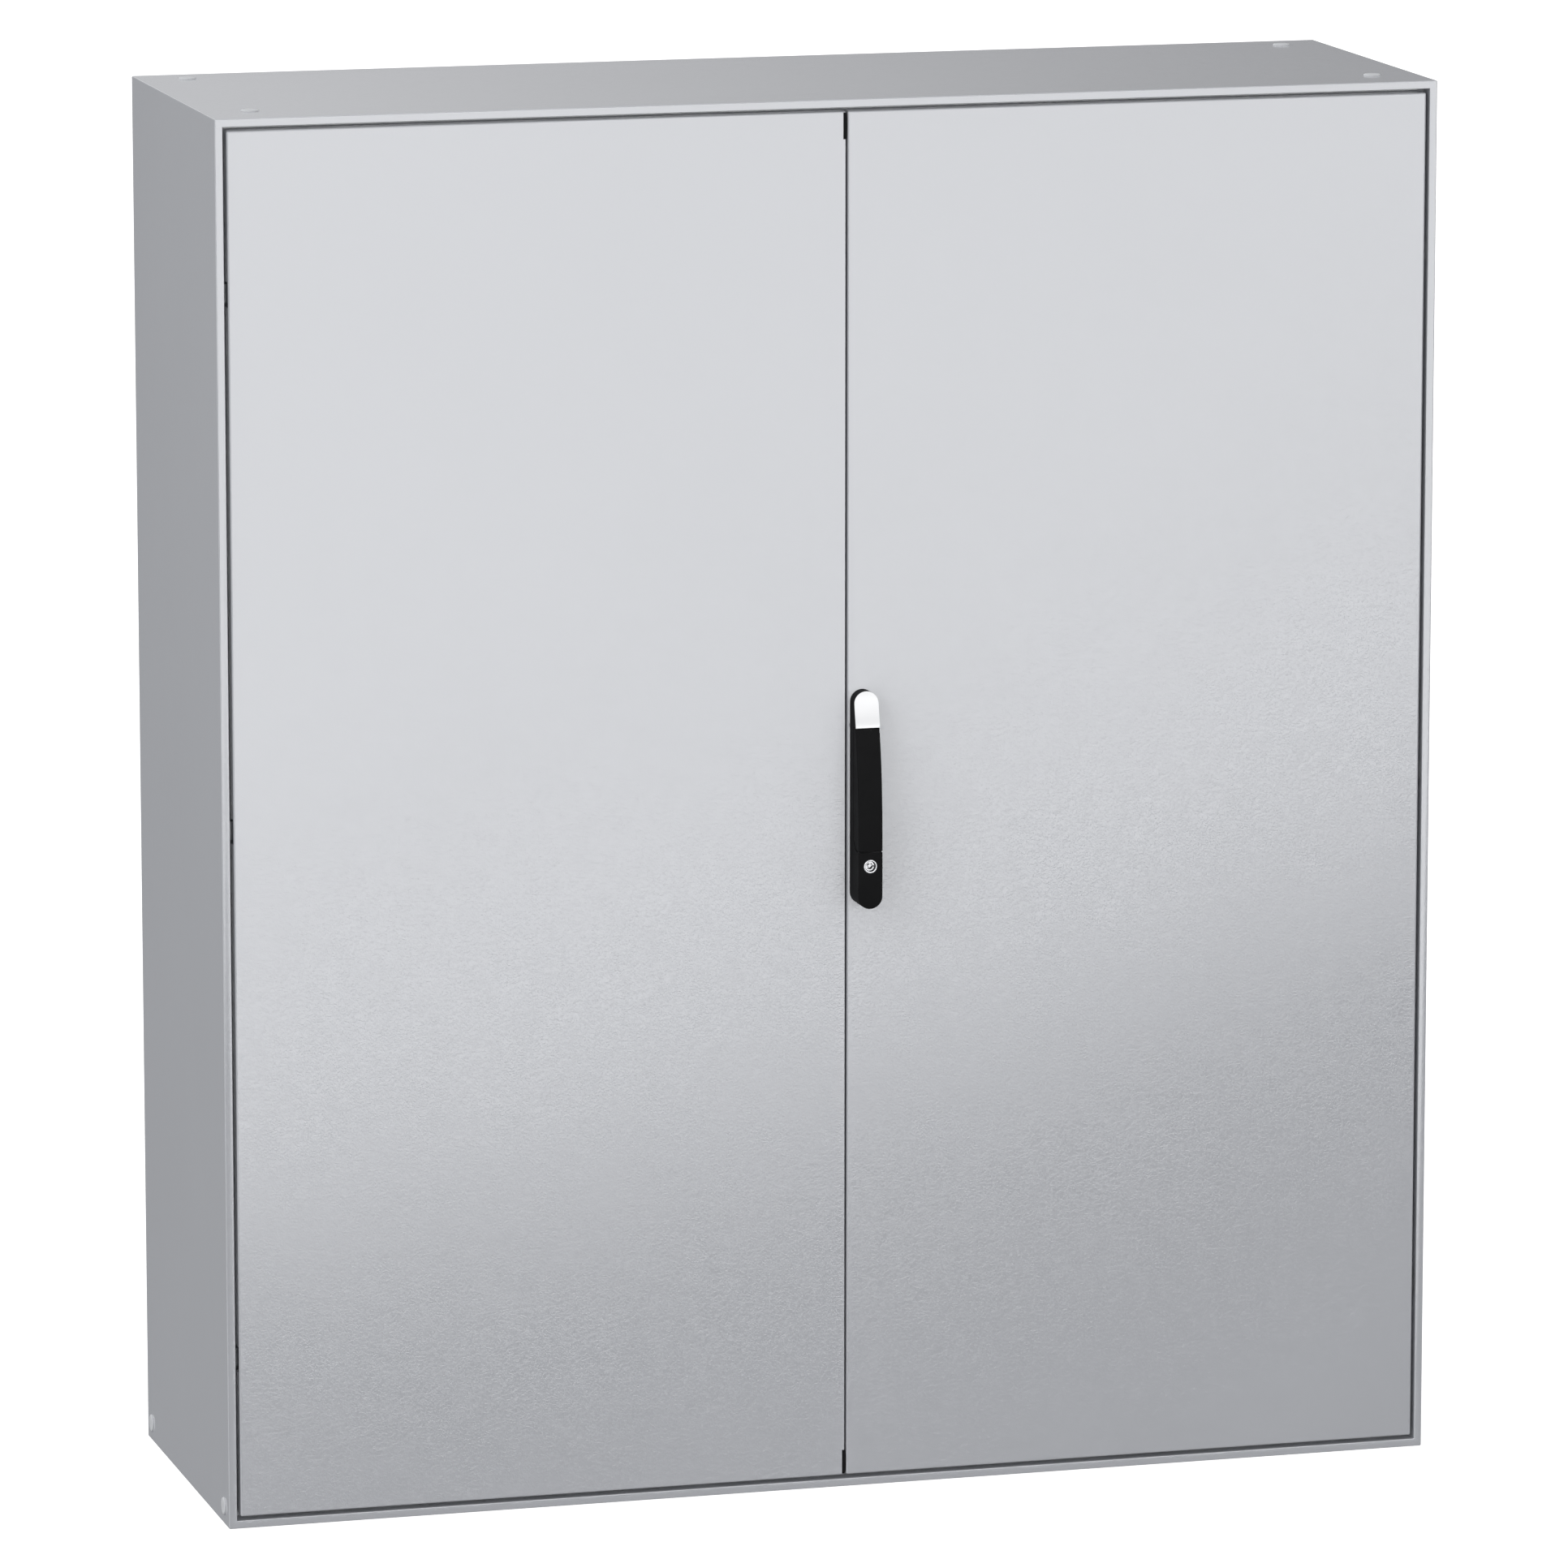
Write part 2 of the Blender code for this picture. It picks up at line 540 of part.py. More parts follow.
pin = put("lever_pin", bm_cyl((HX, -LIFT_P, LIFT_Z), 'X', 0.0015, 0.0252, 16), STEEL,
          origin=(HX, yd(-LIFT_P), LIFT_Z))


# ------------------------------------------------------------------ pinion and racks
ALPHA = math.radians(25)
ADD, DED = 0.8 * PINION_MODULE, 1.05 * PINION_MODULE
BACKLASH = 0.00012


def inv(a):
    return math.tan(a) - a


def pinion_outline():
    """Involute gear outline, one tooth centred on +X, points run anticlockwise."""
    n = PINION_TEETH
    rb = PITCH_R * math.cos(ALPHA)
    ro, rr = PITCH_R + ADD, PITCH_R - DED
    half = math.pi / (2 * n) - BACKLASH / (2 * PITCH_R)      # half tooth angle at the pitch circle
    radii = [max(rb, rr) + (ro - max(rb, rr)) * k / 4 for k in range(5)]

    def flank(r):
        return half + inv(ALPHA) - inv(math.acos(min(1.0, rb / r)))
    pts = []
    for t in range(n):
        c = 2 * math.pi * t / n
        side = [(r, flank(r)) for r in radii]
        if rr < rb:
            side = [(rr, flank(rb))] + side
        for r, a in side:
            pts.append((r, c - a))
        for r, a in reversed(side):
            pts.append((r, c + a))
    return [(r * math.cos(a), r * math.sin(a)) for r, a in pts]


pts = [(HX + x, SPINDLE_Z + z) for x, z in pinion_outline()]
pinion = put("drive_pinion", bm_prism(pts, 'D', GEAR_D0, GEAR_D1), STEEL,
             origin=(HX, yd(GEAR_D0), SPINDLE_Z))
cut(pinion, bm_cyl((HX, (GEAR_D0 + GEAR_D1) / 2, SPINDLE_Z), 'Y', 0.0060 + GAP, 0.02, 24))


def make_rod(name, s, z_rack0, z_rack1, z_end, first_space):
    """A flat bar with rack teeth facing the pinion; s is the side of the pinion it runs on."""
    pitch = math.pi * PINION_MODULE
    x_pitch = HX + s * PITCH_R
    x_tip = x_pitch - s * ADD
    x_root = x_pitch + s * DED
    x_back = x_root + s * 0.0050
    half_tip = pitch / 4 - ADD * math.tan(ALPHA) - BACKLASH / 2
    half_root = pitch / 4 + DED * math.tan(ALPHA) - BACKLASH / 2
    run = []
    # a rack space is centred on the pinion's tooth at the axis height
    k0 = math.ceil((min(z_rack0, z_rack1) - SPINDLE_Z) / pitch - 0.5)
    k1 = math.floor((max(z_rack0, z_rack1) - SPINDLE_Z) / pitch - 0.5)
    for k in range(k0, k1 + 1):
        c = SPINDLE_Z + (k + 0.5 + first_space) * pitch
        run += [(x_root, c - half_root), (x_tip, c - half_tip), (x_tip, c + half_tip), (x_root, c + half_root)]
    zlo, zhi = min(z_rack0, z_rack1, z_end), max(z_rack0, z_rack1, z_end)
    ch = 0.0015
    outline = [(x_root, zlo)] + run + [(x_root, zhi), (x_back, zhi), (x_back, zlo)]
    ob = put(name, bm_prism(outline, 'D', GEAR_D0, GEAR_D1), ZINC)
    return ob


# with ten teeth, a tooth of the pinion points at each rack
make_rod("lock_rod_top", -1, SPINDLE_Z - 0.016, SPINDLE_Z + 0.034, HEIGHT - LIP_Z - 0.0030, 0.0)
make_rod("lock_rod_bottom", 1, SPINDLE_Z + 0.016, SPINDLE_Z - 0.034, LIP_Z + 0.0030, 0.0)

ROD_TOP_X = (HX - PITCH_R - DED - 0.005, HX - PITCH_R - DED)
ROD_BOT_X = (HX + PITCH_R + DED, HX + PITCH_R + DED + 0.005)

# gearbox case: a cover open to the door, standing on two posts
gx0, gx1, gz0, gz1, gd0, gd1 = 0.0160, 0.0540, 0.9920, 1.0670, 0.0190, 0.0430
case = put("gearbox_case", bm_box(gx0, gx1, gd0, gd1, gz0, gz1), ZINC)
w = 0.0008
cut(case, bm_box(gx0 + w, gx1 - w, gd0 - 0.01, gd1 - 0.0030, gz0 + 0.0015, gz1 - 0.0015),
    bm_box(ROD_TOP_X[0] - 0.0004, HX - PITCH_R + ADD + 0.0005, GEAR_D0 - 0.0004, GEAR_D1 + 0.0004,
           SPINDLE_Z, gz1 + 0.02),
    bm_box(HX + PITCH_R - ADD - 0.0005, ROD_BOT_X[1] + 0.0004, GEAR_D0 - 0.0004, GEAR_D1 + 0.0004,
           gz0 - 0.02, SPINDLE_Z),
    bm_cyl((HX, 0.040, SPINDLE_Z), 'Y', 0.0065, 0.02, 24))
join(case, bm_cyl((0.0345, (0.0023 + 0.0420) / 2, 1.0585), 'Y', 0.0042, 0.0420 - 0.0023, 20),
     bm_cyl((0.0345, (0.0023 + 0.0420) / 2, 1.0005), 'Y', 0.0042, 0.0420 - 0.0023, 20))


def make_guide(name, rx, z, x0, x1):
    ob = put(name, bm_box(x0, x1, 0.0270, 0.0420, z - 0.010, z + 0.010), BLACK)
    join(ob, bm_box(0.0275, 0.0360, 0.0023, 0.0280, z - 0.010, z + 0.010))
    cut(ob, bm_box(rx[0] - 0.0005, rx[1] + 0.0005, GEAR_D0 - 0.0005, GEAR_D1 + 0.0005, z - 0.02, z + 0.02))
    return soften(ob, 0.0008, 1)


make_guide("rod_guide_top", ROD_TOP_X, 1.640, 0.0155, 0.0360)
make_guide("rod_guide_bottom", ROD_BOT_X, 0.160, 0.0275, 0.0580)

# keepers behind the sealing flange, one at each end of the meeting line
for end, z0, z1 in (("top", 1.7610, 1.7880), ("bottom", 0.0120, 0.0390)):
    k = put("rod_keeper_%s" % end, bm_box(-0.040, 0.070, RETURN_D + SHEET + GAP, 0.0299, z0, z1), ZINC)
    soften(k, 0.0004, 1)

for ob in parts.objects:
    smooth(ob, 35)
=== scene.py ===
import json
import math

import bmesh
import bpy
from mathutils import Matrix, Vector

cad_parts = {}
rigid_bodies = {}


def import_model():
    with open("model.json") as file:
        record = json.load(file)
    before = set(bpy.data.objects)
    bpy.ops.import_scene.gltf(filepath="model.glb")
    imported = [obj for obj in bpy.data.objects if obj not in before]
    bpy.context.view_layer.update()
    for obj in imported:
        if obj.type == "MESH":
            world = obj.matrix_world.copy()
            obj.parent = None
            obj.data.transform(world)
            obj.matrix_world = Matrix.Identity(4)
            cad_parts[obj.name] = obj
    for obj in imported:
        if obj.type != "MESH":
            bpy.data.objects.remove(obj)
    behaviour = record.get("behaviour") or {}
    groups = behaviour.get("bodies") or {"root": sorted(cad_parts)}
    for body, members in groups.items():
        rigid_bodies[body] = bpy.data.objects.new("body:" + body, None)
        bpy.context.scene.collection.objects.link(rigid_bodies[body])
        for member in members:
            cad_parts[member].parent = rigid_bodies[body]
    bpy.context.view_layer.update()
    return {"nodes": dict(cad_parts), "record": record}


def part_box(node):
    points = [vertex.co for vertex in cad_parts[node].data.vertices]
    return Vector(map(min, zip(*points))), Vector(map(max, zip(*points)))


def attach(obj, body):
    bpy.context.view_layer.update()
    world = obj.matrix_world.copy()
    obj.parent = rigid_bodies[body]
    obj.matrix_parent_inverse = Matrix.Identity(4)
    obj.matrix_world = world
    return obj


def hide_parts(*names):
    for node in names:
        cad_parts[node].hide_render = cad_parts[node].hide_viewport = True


for o in list(bpy.data.objects):
    bpy.data.objects.remove(o, do_unlink=True)

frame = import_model()
NODES = frame["nodes"]
YC = 0.231                                     # depth of the origin behind the door fronts


def yd(d):
    return d - YC


# =====================================================================
# materials
# =====================================================================
class Mat:
    """A small node builder round one Principled shader."""

    def __init__(self, name, color, rough, metal=0.0, **sockets):
        self.m = bpy.data.materials.new(name)
        self.m.use_nodes = True
        self.nt = self.m.node_tree
        self.b = self.nt.nodes["Principled BSDF"]
        self.b.inputs["Base Color"].default_value = (*color, 1)
        self.b.inputs["Roughness"].default_value = rough
        self.b.inputs["Metallic"].default_value = metal
        for k, v in sockets.items():
            self.b.inputs[k.replace("_", " ")].default_value = v
        self.color = color
        self.m.diffuse_color = (*color, 1)

    def n(self, kind, **kw):
        node = self.nt.nodes.new(kind)
        for k, v in kw.items():
            if k.startswith("in_"):
                key = k[3:]
                node.inputs[int(key) if key.isdigit() else key.replace("_", " ")].default_value = v
            else:
                setattr(node, k, v)
        return node

    def link(self, a, b):
        self.nt.links.new(a, b)

    def coords(self, scale=(1, 1, 1)):
        tc = self.n("ShaderNodeTexCoord")
        if scale == (1, 1, 1):
            return tc.outputs["Object"]
        mp = self.n("ShaderNodeMapping")
        mp.inputs["Scale"].default_value = scale
        self.link(tc.outputs["Object"], mp.inputs["Vector"])
        return mp.outputs["Vector"]

    def noise(self, scale, detail=2.0, rough=0.5, distortion=0.0, vec=None):
        nd = self.n("ShaderNodeTexNoise")
        nd.inputs["Scale"].default_value = scale
        nd.inputs["Detail"].default_value = detail
        nd.inputs["Roughness"].default_value = rough
        nd.inputs["Distortion"].default_value = distortion
        self.link(vec if vec is not None else self.coords(), nd.inputs["Vector"])
        return nd.outputs["Fac"]

    def voronoi(self, scale, feature='F1', vec=None, rand=1.0):
        nd = self.n("ShaderNodeTexVoronoi")
        nd.feature = feature
        nd.inputs["Scale"].default_value = scale
        nd.inputs["Randomness"].default_value = rand
        self.link(vec if vec is not None else self.coords(), nd.inputs["Vector"])
        return nd.outputs["Distance"]

    def math(self, op, a, b=None, clamp=False):
        nd = self.n("ShaderNodeMath", operation=op, use_clamp=clamp)
        for i, v in enumerate((a, b)):
            if v is None:
                continue
            if isinstance(v, (int, float)):
                nd.inputs[i].default_value = v
            else:
                self.link(v, nd.inputs[i])
        return nd.outputs[0]

    def ramp(self, fac, stops, mode='LINEAR'):
        nd = self.n("ShaderNodeValToRGB")
        cr = nd.color_ramp
        cr.interpolation = mode
        while len(cr.elements) < len(stops):
            cr.elements.new(0.5)
        for e, (p, c) in zip(cr.elements, stops):
            e.position = p
            e.color = c if len(c) == 4 else (*c, 1)
        self.link(fac, nd.inputs["Fac"])
        return nd.outputs["Color"]

    def maprange(self, v, a, b, c, d, smooth=False):
        nd = self.n("ShaderNodeMapRange")
        if smooth:
            nd.interpolation_type = 'SMOOTHSTEP'
        for k, x in zip(("From Min", "From Max", "To Min", "To Max"), (a, b, c, d)):
            nd.inputs[k].default_value = x
        self.link(v, nd.inputs["Value"])
        return nd.outputs["Result"]

    def mix(self, fac, a, b):
        nd = self.n("ShaderNodeMix", data_type='RGBA')
        if isinstance(fac, (int, float)):
            nd.inputs["Factor"].default_value = fac
        else:
            self.link(fac, nd.inputs["Factor"])
        for s, v in ((6, a), (7, b)):
            if isinstance(v, tuple):
                nd.inputs[s].default_value = (*v, 1)
            else:
                self.link(v, nd.inputs[s])
        return nd.outputs[2]

    def edges(self, lo=0.52, hi=0.60):
        """1 along convex edges, 0 elsewhere; it masks the painted edge highlights, and the rubbed gloss on the black
        plastic.
        """
        g = self.n("ShaderNodeNewGeometry")
        return self.maprange(g.outputs["Pointiness"], lo, hi, 0.0, 1.0, True)

    def base(self, sock):
        self.link(sock, self.b.inputs["Base Color"])

    def rough(self, sock):
        self.link(sock, self.b.inputs["Roughness"])

    def bump(self, height, strength, dist):
        nd = self.n("ShaderNodeBump")
        nd.inputs["Strength"].default_value = strength
        nd.inputs["Distance"].default_value = dist
        self.link(height, nd.inputs["Height"])
        self.link(nd.outputs["Normal"], self.b.inputs["Normal"])
        return nd


def tint(c, k):
    return tuple(min(1.0, x * k) for x in c)


PAINT_RGB = (0.521, 0.530, 0.556)


def powder_coat(name="powder_coat_grey", rgb=PAINT_RGB, grain=1.0):
    """Light grey structured powder coat: a wrinkled, glossy skin over a matt pigment."""
    m = Mat(name, rgb, 0.09, 0.0, Specular_IOR_Level=1.0, IOR=1.6)
    wrinkle = m.noise(205, 2.0, 0.45, 0.9)
    ridge = m.math('ABSOLUTE', m.math('SUBTRACT', wrinkle, 0.5))
    ridge = m.math('MULTIPLY', m.math('MINIMUM', ridge, 0.12), 6.0)
    fine = m.noise(620, 2.0, 0.5, 0.2)
    height = m.math('ADD', m.math('MULTIPLY', ridge, -1.0), m.math('MULTIPLY', fine, 0.12))
    m.bump(height, 0.075 * grain, 0.00030)
    cloud = m.noise(2.3, 3.0, 0.5)
    speck = m.noise(900, 2.0, 0.6)
    col = m.mix(m.maprange(cloud, 0.3, 0.7, 0.0, 1.0), tint(rgb, 0.985), tint(rgb, 1.012))
    col = m.mix(m.maprange(speck, 0.62, 0.80, 0.0, 0.35), col, tint(rgb, 0.93))
    # painted highlight: the paint colour is lightened along convex edges
    col = m.mix(m.math('MULTIPLY', m.edges(0.53, 0.62), 0.12), col, tint(rgb, 1.10))
    m.base(col)
    m.rough(m.maprange(m.noise(40, 3.0, 0.6), 0.3, 0.7, 0.06, 0.09))
    return m.m


def powder_inside():
    m = Mat("powder_coat_inside", tint(PAINT_RGB, 0.97), 0.3, 0.0, Specular_IOR_Level=0.6)
    wrinkle = m.noise(170, 3.0, 0.55, 0.9)
    m.bump(m.math('ABSOLUTE', m.math('SUBTRACT', wrinkle, 0.5)), 0.25, 0.0009)
    cloud = m.noise(3.1, 4.0, 0.55)
    m.base(m.mix(m.maprange(cloud, 0.3, 0.7, 0.0, 1.0), tint(PAINT_RGB, 0.93), tint(PAINT_RGB, 0.99)))
    m.rough(m.maprange(m.noise(60, 3.0, 0.6), 0.3, 0.7, 0.28, 0.38))
    return m.m


def zinc(name="zinc_plated", rgb=(0.63, 0.645, 0.66), stretch=(1, 1, 1), spangle=0.0, rough=(0.26, 0.42), bump=0.12):
    m = Mat(name, rgb, 0.34, 1.0)
    vec = m.coords(stretch)
    streak = m.noise(55, 5.0, 0.62, 0.0, vec)
    cloud = m.noise(7, 3.0, 0.55)
    cell = m.voronoi(24, 'F1')
    col = m.mix(m.maprange(cloud, 0.3, 0.7, 0, 1), tint(rgb, 0.86), tint(rgb, 1.05))
    if spangle:
        col = m.mix(m.maprange(cell, 0.1, 0.9, 0.0, spangle), col, tint(rgb, 0.74))
    # painted highlight: the zinc colour is brightened along convex edges
    col = m.mix(m.math('MULTIPLY', m.edges(0.53, 0.62), 0.5), col, tint(rgb, 1.25))
    m.base(col)
    r = m.math('ADD', m.maprange(streak, 0.3, 0.7, rough[0], rough[1]),
               m.maprange(cloud, 0.3, 0.7, -0.04, 0.05))
    m.rough(r)
    m.bump(streak, bump, 0.00025)
    return m.m


def bright_steel(name="turned_steel"):
    rgb = (0.66, 0.66, 0.665)
    m = Mat(name, rgb, 0.22, 1.0)
    line = m.noise(90, 4.0, 0.6, 0.0, m.coords((1, 1, 14)))
    m.base(m.mix(m.maprange(line, 0.35, 0.65, 0, 1), tint(rgb, 0.86), tint(rgb, 1.08)))
    m.rough(m.maprange(line, 0.3, 0.7, 0.15, 0.30))
    m.bump(line, 0.10, 0.0001)
    return m.m


def black_plastic(name="black_polyamide", rgb=(0.0075, 0.0075, 0.0080), rough=(0.50, 0.60), spec=0.08):
    """Spark-eroded mould texture, lightly rubbed (glossier) along the edges, where the colour is also lightened as a
    painted highlight.
    """
    m = Mat(name, rgb, 0.45, 0.0, Specular_IOR_Level=spec)
    grain = m.noise(1500, 3.0, 0.6)
    cell = m.voronoi(1100, 'F1')
    rub_and_edge_highlight = m.edges(0.53, 0.64)
    smear = m.noise(28, 4.0, 0.6)
    col = m.mix(m.maprange(grain, 0.3, 0.7, 0, 1), tint(rgb, 0.88), tint(rgb, 1.12))
    # painted highlight: the colour is lightened along the edges; the lower roughness there is the rubbing
    col = m.mix(m.math('MULTIPLY', rub_and_edge_highlight, 0.35), col, (0.016, 0.016, 0.017))
    m.base(col)
    r = m.math('SUBTRACT', m.maprange(smear, 0.3, 0.7, rough[0], rough[1]), m.math('MULTIPLY', rub_and_edge_highlight, 0.08))
    m.rough(r)
    m.bump(m.math('ADD', grain, m.math('MULTIPLY', cell, 0.5)), 0.16, 0.00010)
    return m.m


def white_plastic(name="white_cover"):
    rgb = (0.93, 0.93, 0.93)
    m = Mat(name, rgb, 0.22, 0.0, Specular_IOR_Level=1.0, IOR=1.6, Coat_Weight=0.6, Coat_Roughness=0.2)
    cloud = m.noise(35, 3.0, 0.5)
    m.base(m.mix(m.maprange(cloud, 0.3, 0.7, 0, 1), (0.955, 0.955, 0.953), (0.97, 0.97, 0.97)))
    m.rough(m.maprange(m.noise(60, 4.0, 0.6), 0.3, 0.7, 0.20, 0.27))
    m.bump(m.noise(900, 2.0, 0.5), 0.05, 0.0001)
    return m.m


def foam(name="foamed_seal"):
    rgb = (0.065, 0.065, 0.068)
    m = Mat(name, rgb, 0.85, 0.0, Specular_IOR_Level=0.25)
    pore = m.voronoi(900, 'F1')
    lump = m.noise(160, 4.0, 0.6, 0.3)
    # painted shade: the colour darkens in the pores, where the bump makes pits
    m.base(m.mix(m.maprange(pore, 0.05, 0.55, 0, 1), tint(rgb, 0.62), tint(rgb, 1.25)))
    m.rough(m.maprange(lump, 0.3, 0.7, 0.74, 0.92))
    m.bump(m.math('ADD', m.math('MULTIPLY', pore, 0.7), lump), 0.45, 0.0005)
    return m.m


def diecast(name="plated_diecast"):
    rgb = (0.60, 0.60, 0.61)
    m = Mat(name, rgb, 0.26, 1.0)
    haze = m.noise(300, 4.0, 0.6)
    col = m.mix(m.maprange(haze, 0.3, 0.7, 0, 1), tint(rgb, 0.88), tint(rgb, 1.08))
    # painted highlight: the colour is brightened along convex edges
    m.base(m.mix(m.math('MULTIPLY', m.edges(0.53, 0.62), 0.5), col, tint(rgb, 1.3)))
    m.rough(m.maprange(haze, 0.3, 0.7, 0.22, 0.34))
    m.bump(haze, 0.08, 0.00008)
    return m.m


def copper(name="earth_strip"):
    rgb = (0.58, 0.30, 0.16)
    m = Mat(name, rgb, 0.3, 1.0)
    c = m.noise(120, 4.0, 0.6)
    m.base(m.mix(m.maprange(c, 0.3, 0.7, 0, 1), tint(rgb, 0.8), tint(rgb, 1.15)))
    m.rough(m.maprange(c, 0.3, 0.7, 0.22, 0.42))
    m.bump(c, 0.1, 0.0001)
    return m.m


def plug_plastic():
    """Grey moulded plastic of the blanking plugs, a touch lighter and duller than the paint."""
    rgb = (0.60, 0.61, 0.625)
    m = Mat("plug_plastic_grey", rgb, 0.35, 0.0, Specular_IOR_Level=0.45)
    cloud = m.noise(120, 3.0, 0.5)
    # painted highlight: the plug colour is lightened along convex edges
    m.base(m.mix(m.math('MULTIPLY', m.edges(0.52, 0.60), 0.3),
                 m.mix(m.maprange(cloud, 0.3, 0.7, 0, 1), tint(rgb, 0.97), tint(rgb, 1.02)), tint(rgb, 1.15)))
    m.rough(m.maprange(m.noise(300, 3.0, 0.6), 0.3, 0.7, 0.30, 0.42))
    m.bump(m.noise(1200, 2.0, 0.5), 0.12, 0.00008)
    return m.m


PLUG = plug_plastic()
PAINT = powder_coat()
PAINT_IN = powder_inside()
ZINC = zinc()
ZINC_SHEET = zinc("galvanised_sheet", (0.60, 0.615, 0.63), (6, 6, 0.25), 0.5, (0.44, 0.56), 0.03)
STEEL = bright_steel()
BLACK = black_plastic()
BLACK_SOFT = black_plastic("black_guide_plastic", (0.016, 0.016, 0.017), (0.50, 0.62), 0.2)
WHITE = white_plastic()
FOAM = foam()
DIECAST = diecast()
COPPER = copper()

SLOTS = {"grey_powder_coat": PAINT, "zinc_plate": ZINC, "bright_steel": STEEL, "black_plastic": BLACK,
         "white_plastic": WHITE, "seal_foam": FOAM, "diecast_zinc": DIECAST}
BY_NODE = {"mounting_plate": ZINC_SHEET, "gland_plate": ZINC_SHEET}


# =====================================================================
# finish of the carried-over solids
# =====================================================================
def finish_group():
    """Merges split corners and shades smooth up to an angle."""
    g = bpy.data.node_groups.new("smooth_by_angle", 'GeometryNodeTree')
    g.interface.new_socket("Geometry", in_out='INPUT', socket_type='NodeSocketGeometry')
    g.interface.new_socket("Angle", in_out='INPUT', socket_type='NodeSocketFloat')
    g.interface.new_socket("Geometry", in_out='OUTPUT', socket_type='NodeSocketGeometry')
    gi, go = g.nodes.new("NodeGroupInput"), g.nodes.new("NodeGroupOutput")
    merge = g.nodes.new("GeometryNodeMergeByDistance")
    merge.inputs["Distance"].default_value = 0.000004
    angle = g.nodes.new("GeometryNodeInputMeshEdgeAngle")
    less = g.nodes.new("FunctionNodeCompare")
    less.data_type = 'FLOAT'
    less.operation = 'LESS_EQUAL'
    face = g.nodes.new("GeometryNodeSetShadeSmooth")
    face.domain = 'FACE'
    edge = g.nodes.new("GeometryNodeSetShadeSmooth")
    edge.domain = 'EDGE'
    ln = g.links.new
    ln(gi.outputs["Geometry"], merge.inputs["Geometry"])
    ln(merge.outputs["Geometry"], face.inputs[0])
    ln(face.outputs[0], edge.inputs[0])
    ln(angle.outputs["Unsigned Angle"], less.inputs[0])
    ln(gi.outputs["Angle"], less.inputs[1])
    ln(less.outputs["Result"], edge.inputs["Shade Smooth"])
    ln(edge.outputs[0], go.inputs[0])
    return g


FINISH = finish_group()


def finish(ob, angle=32):
    mod = ob.modifiers.new("finish", 'NODES')
    mod.node_group = FINISH
    for item in FINISH.interface.items_tree:
        if item.name == "Angle":
            mod[item.identifier] = math.radians(angle)
    flat = ob.modifiers.new("flat_faces_stay_flat", 'WEIGHTED_NORMAL')
    flat.mode = 'FACE_AREA'
    flat.weight = 100
    flat.keep_sharp = True
    return ob


def weld_bevel(ob, width, segments=2, angle=40):
    w = ob.modifiers.new("weld", 'WELD')
    w.merge_threshold = 0.000004
    b = ob.modifiers.new("worn_edges", 'BEVEL')
    b.width = width
    b.segments = segments
    b.limit_method = 'ANGLE'
    b.angle_limit = math.radians(angle)
    b.harden_normals = False
    b.use_clamp_overlap = True
    return ob


slot_of = {s["node"]: s["material_slot"] for s in frame["record"]["subparts"]}
for name, ob in NODES.items():
    mat = BY_NODE.get(name, SLOTS[slot_of[name]])
    ob.data.materials.clear()
    ob.data.materials.append(mat)
    for p in ob.data.polygons:
        p.material_index = 0
BEVELLED = {"mounting_plate": 0.0004, "gland_plate": 0.0004, "rear_panel": 0.0004, "gearbox_case": 0.0006,
            "lock_rod_top": 0.0005, "lock_rod_bottom": 0.0005, "rod_keeper_top": 0.0004,
            "rod_keeper_bottom": 0.0004, "drive_pinion": 0.0003,
            "flush_bolt_top": 0.0006, "flush_bolt_bottom": 0.0006, "meeting_seal": 0.0004}
for name, ob in NODES.items():
    if name.startswith(("plate_bracket", "hinge_bracket", "hinge_leaf")):
        weld_bevel(ob, 0.0004)
    elif name.startswith("hinge_pin"):
        weld_bevel(ob, 0.0003)
    elif name in BEVELLED:
        weld_bevel(ob, BEVELLED[name])
    finish(ob)


# =====================================================================
# making pieces
# =====================================================================
def put(name, bm, mat, body, smooth=None, place=None):
    me = bpy.data.meshes.new(name)
    bm.to_mesh(me)
    bm.free()
    ob = bpy.data.objects.new(name, me)
    bpy.context.scene.collection.objects.link(ob)
    if mat is not None:
        me.materials.append(mat)
    if place is not None:
        ob.matrix_world = place
    if smooth is not None:
        finish(ob, smooth)
    if body:
        bpy.context.view_layer.update()
        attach(ob, body)
    return ob


def bm_box(x0, x1, d0, d1, z0, z1, bm=None):
    bm = bm or bmesh.new()
    m = (Matrix.Translation(((x0 + x1) / 2, yd((d0 + d1) / 2), (z0 + z1) / 2))
         @ Matrix.Diagonal((x1 - x0, d1 - d0, z1 - z0, 1)))
    bmesh.ops.create_cube(bm, size=1.0, matrix=m)
    return bm


ROT = {'Z': Matrix.Identity(4), 'X': Matrix.Rotation(math.pi / 2, 4, 'Y'),
       'Y': Matrix.Rotation(-math.pi / 2, 4, 'X')}


def bm_cyl(centre, axis, r, length, seg=48, bm=None, r2=None):
    bm = bm or bmesh.new()
    m = Matrix.Translation((centre[0], yd(centre[1]), centre[2])) @ ROT[axis]
    bmesh.ops.create_cone(bm, cap_ends=True, segments=seg, radius1=r,
                          radius2=r if r2 is None else r2, depth=length, matrix=m)
    return bm


def bm_prism(points, axis, lo, hi, bm=None):
    bm = bm or bmesh.new()
    ends = []
    for t in (lo, hi):
        ring = []
        for u, v in points:
            co = (t, yd(u), v) if axis == 'X' else (u, yd(t), v) if axis == 'D' else (u, yd(v), t)
            ring.append(bm.verts.new(co))
        ends.append(ring)
    n = len(points)
    fs = [bm.faces.new(ends[0]), bm.faces.new(ends[1])]
    for i in range(n):
        fs.append(bm.faces.new((ends[0][i], ends[0][(i + 1) % n], ends[1][(i + 1) % n], ends[1][i])))
    bmesh.ops.recalc_face_normals(bm, faces=fs)
    return bm


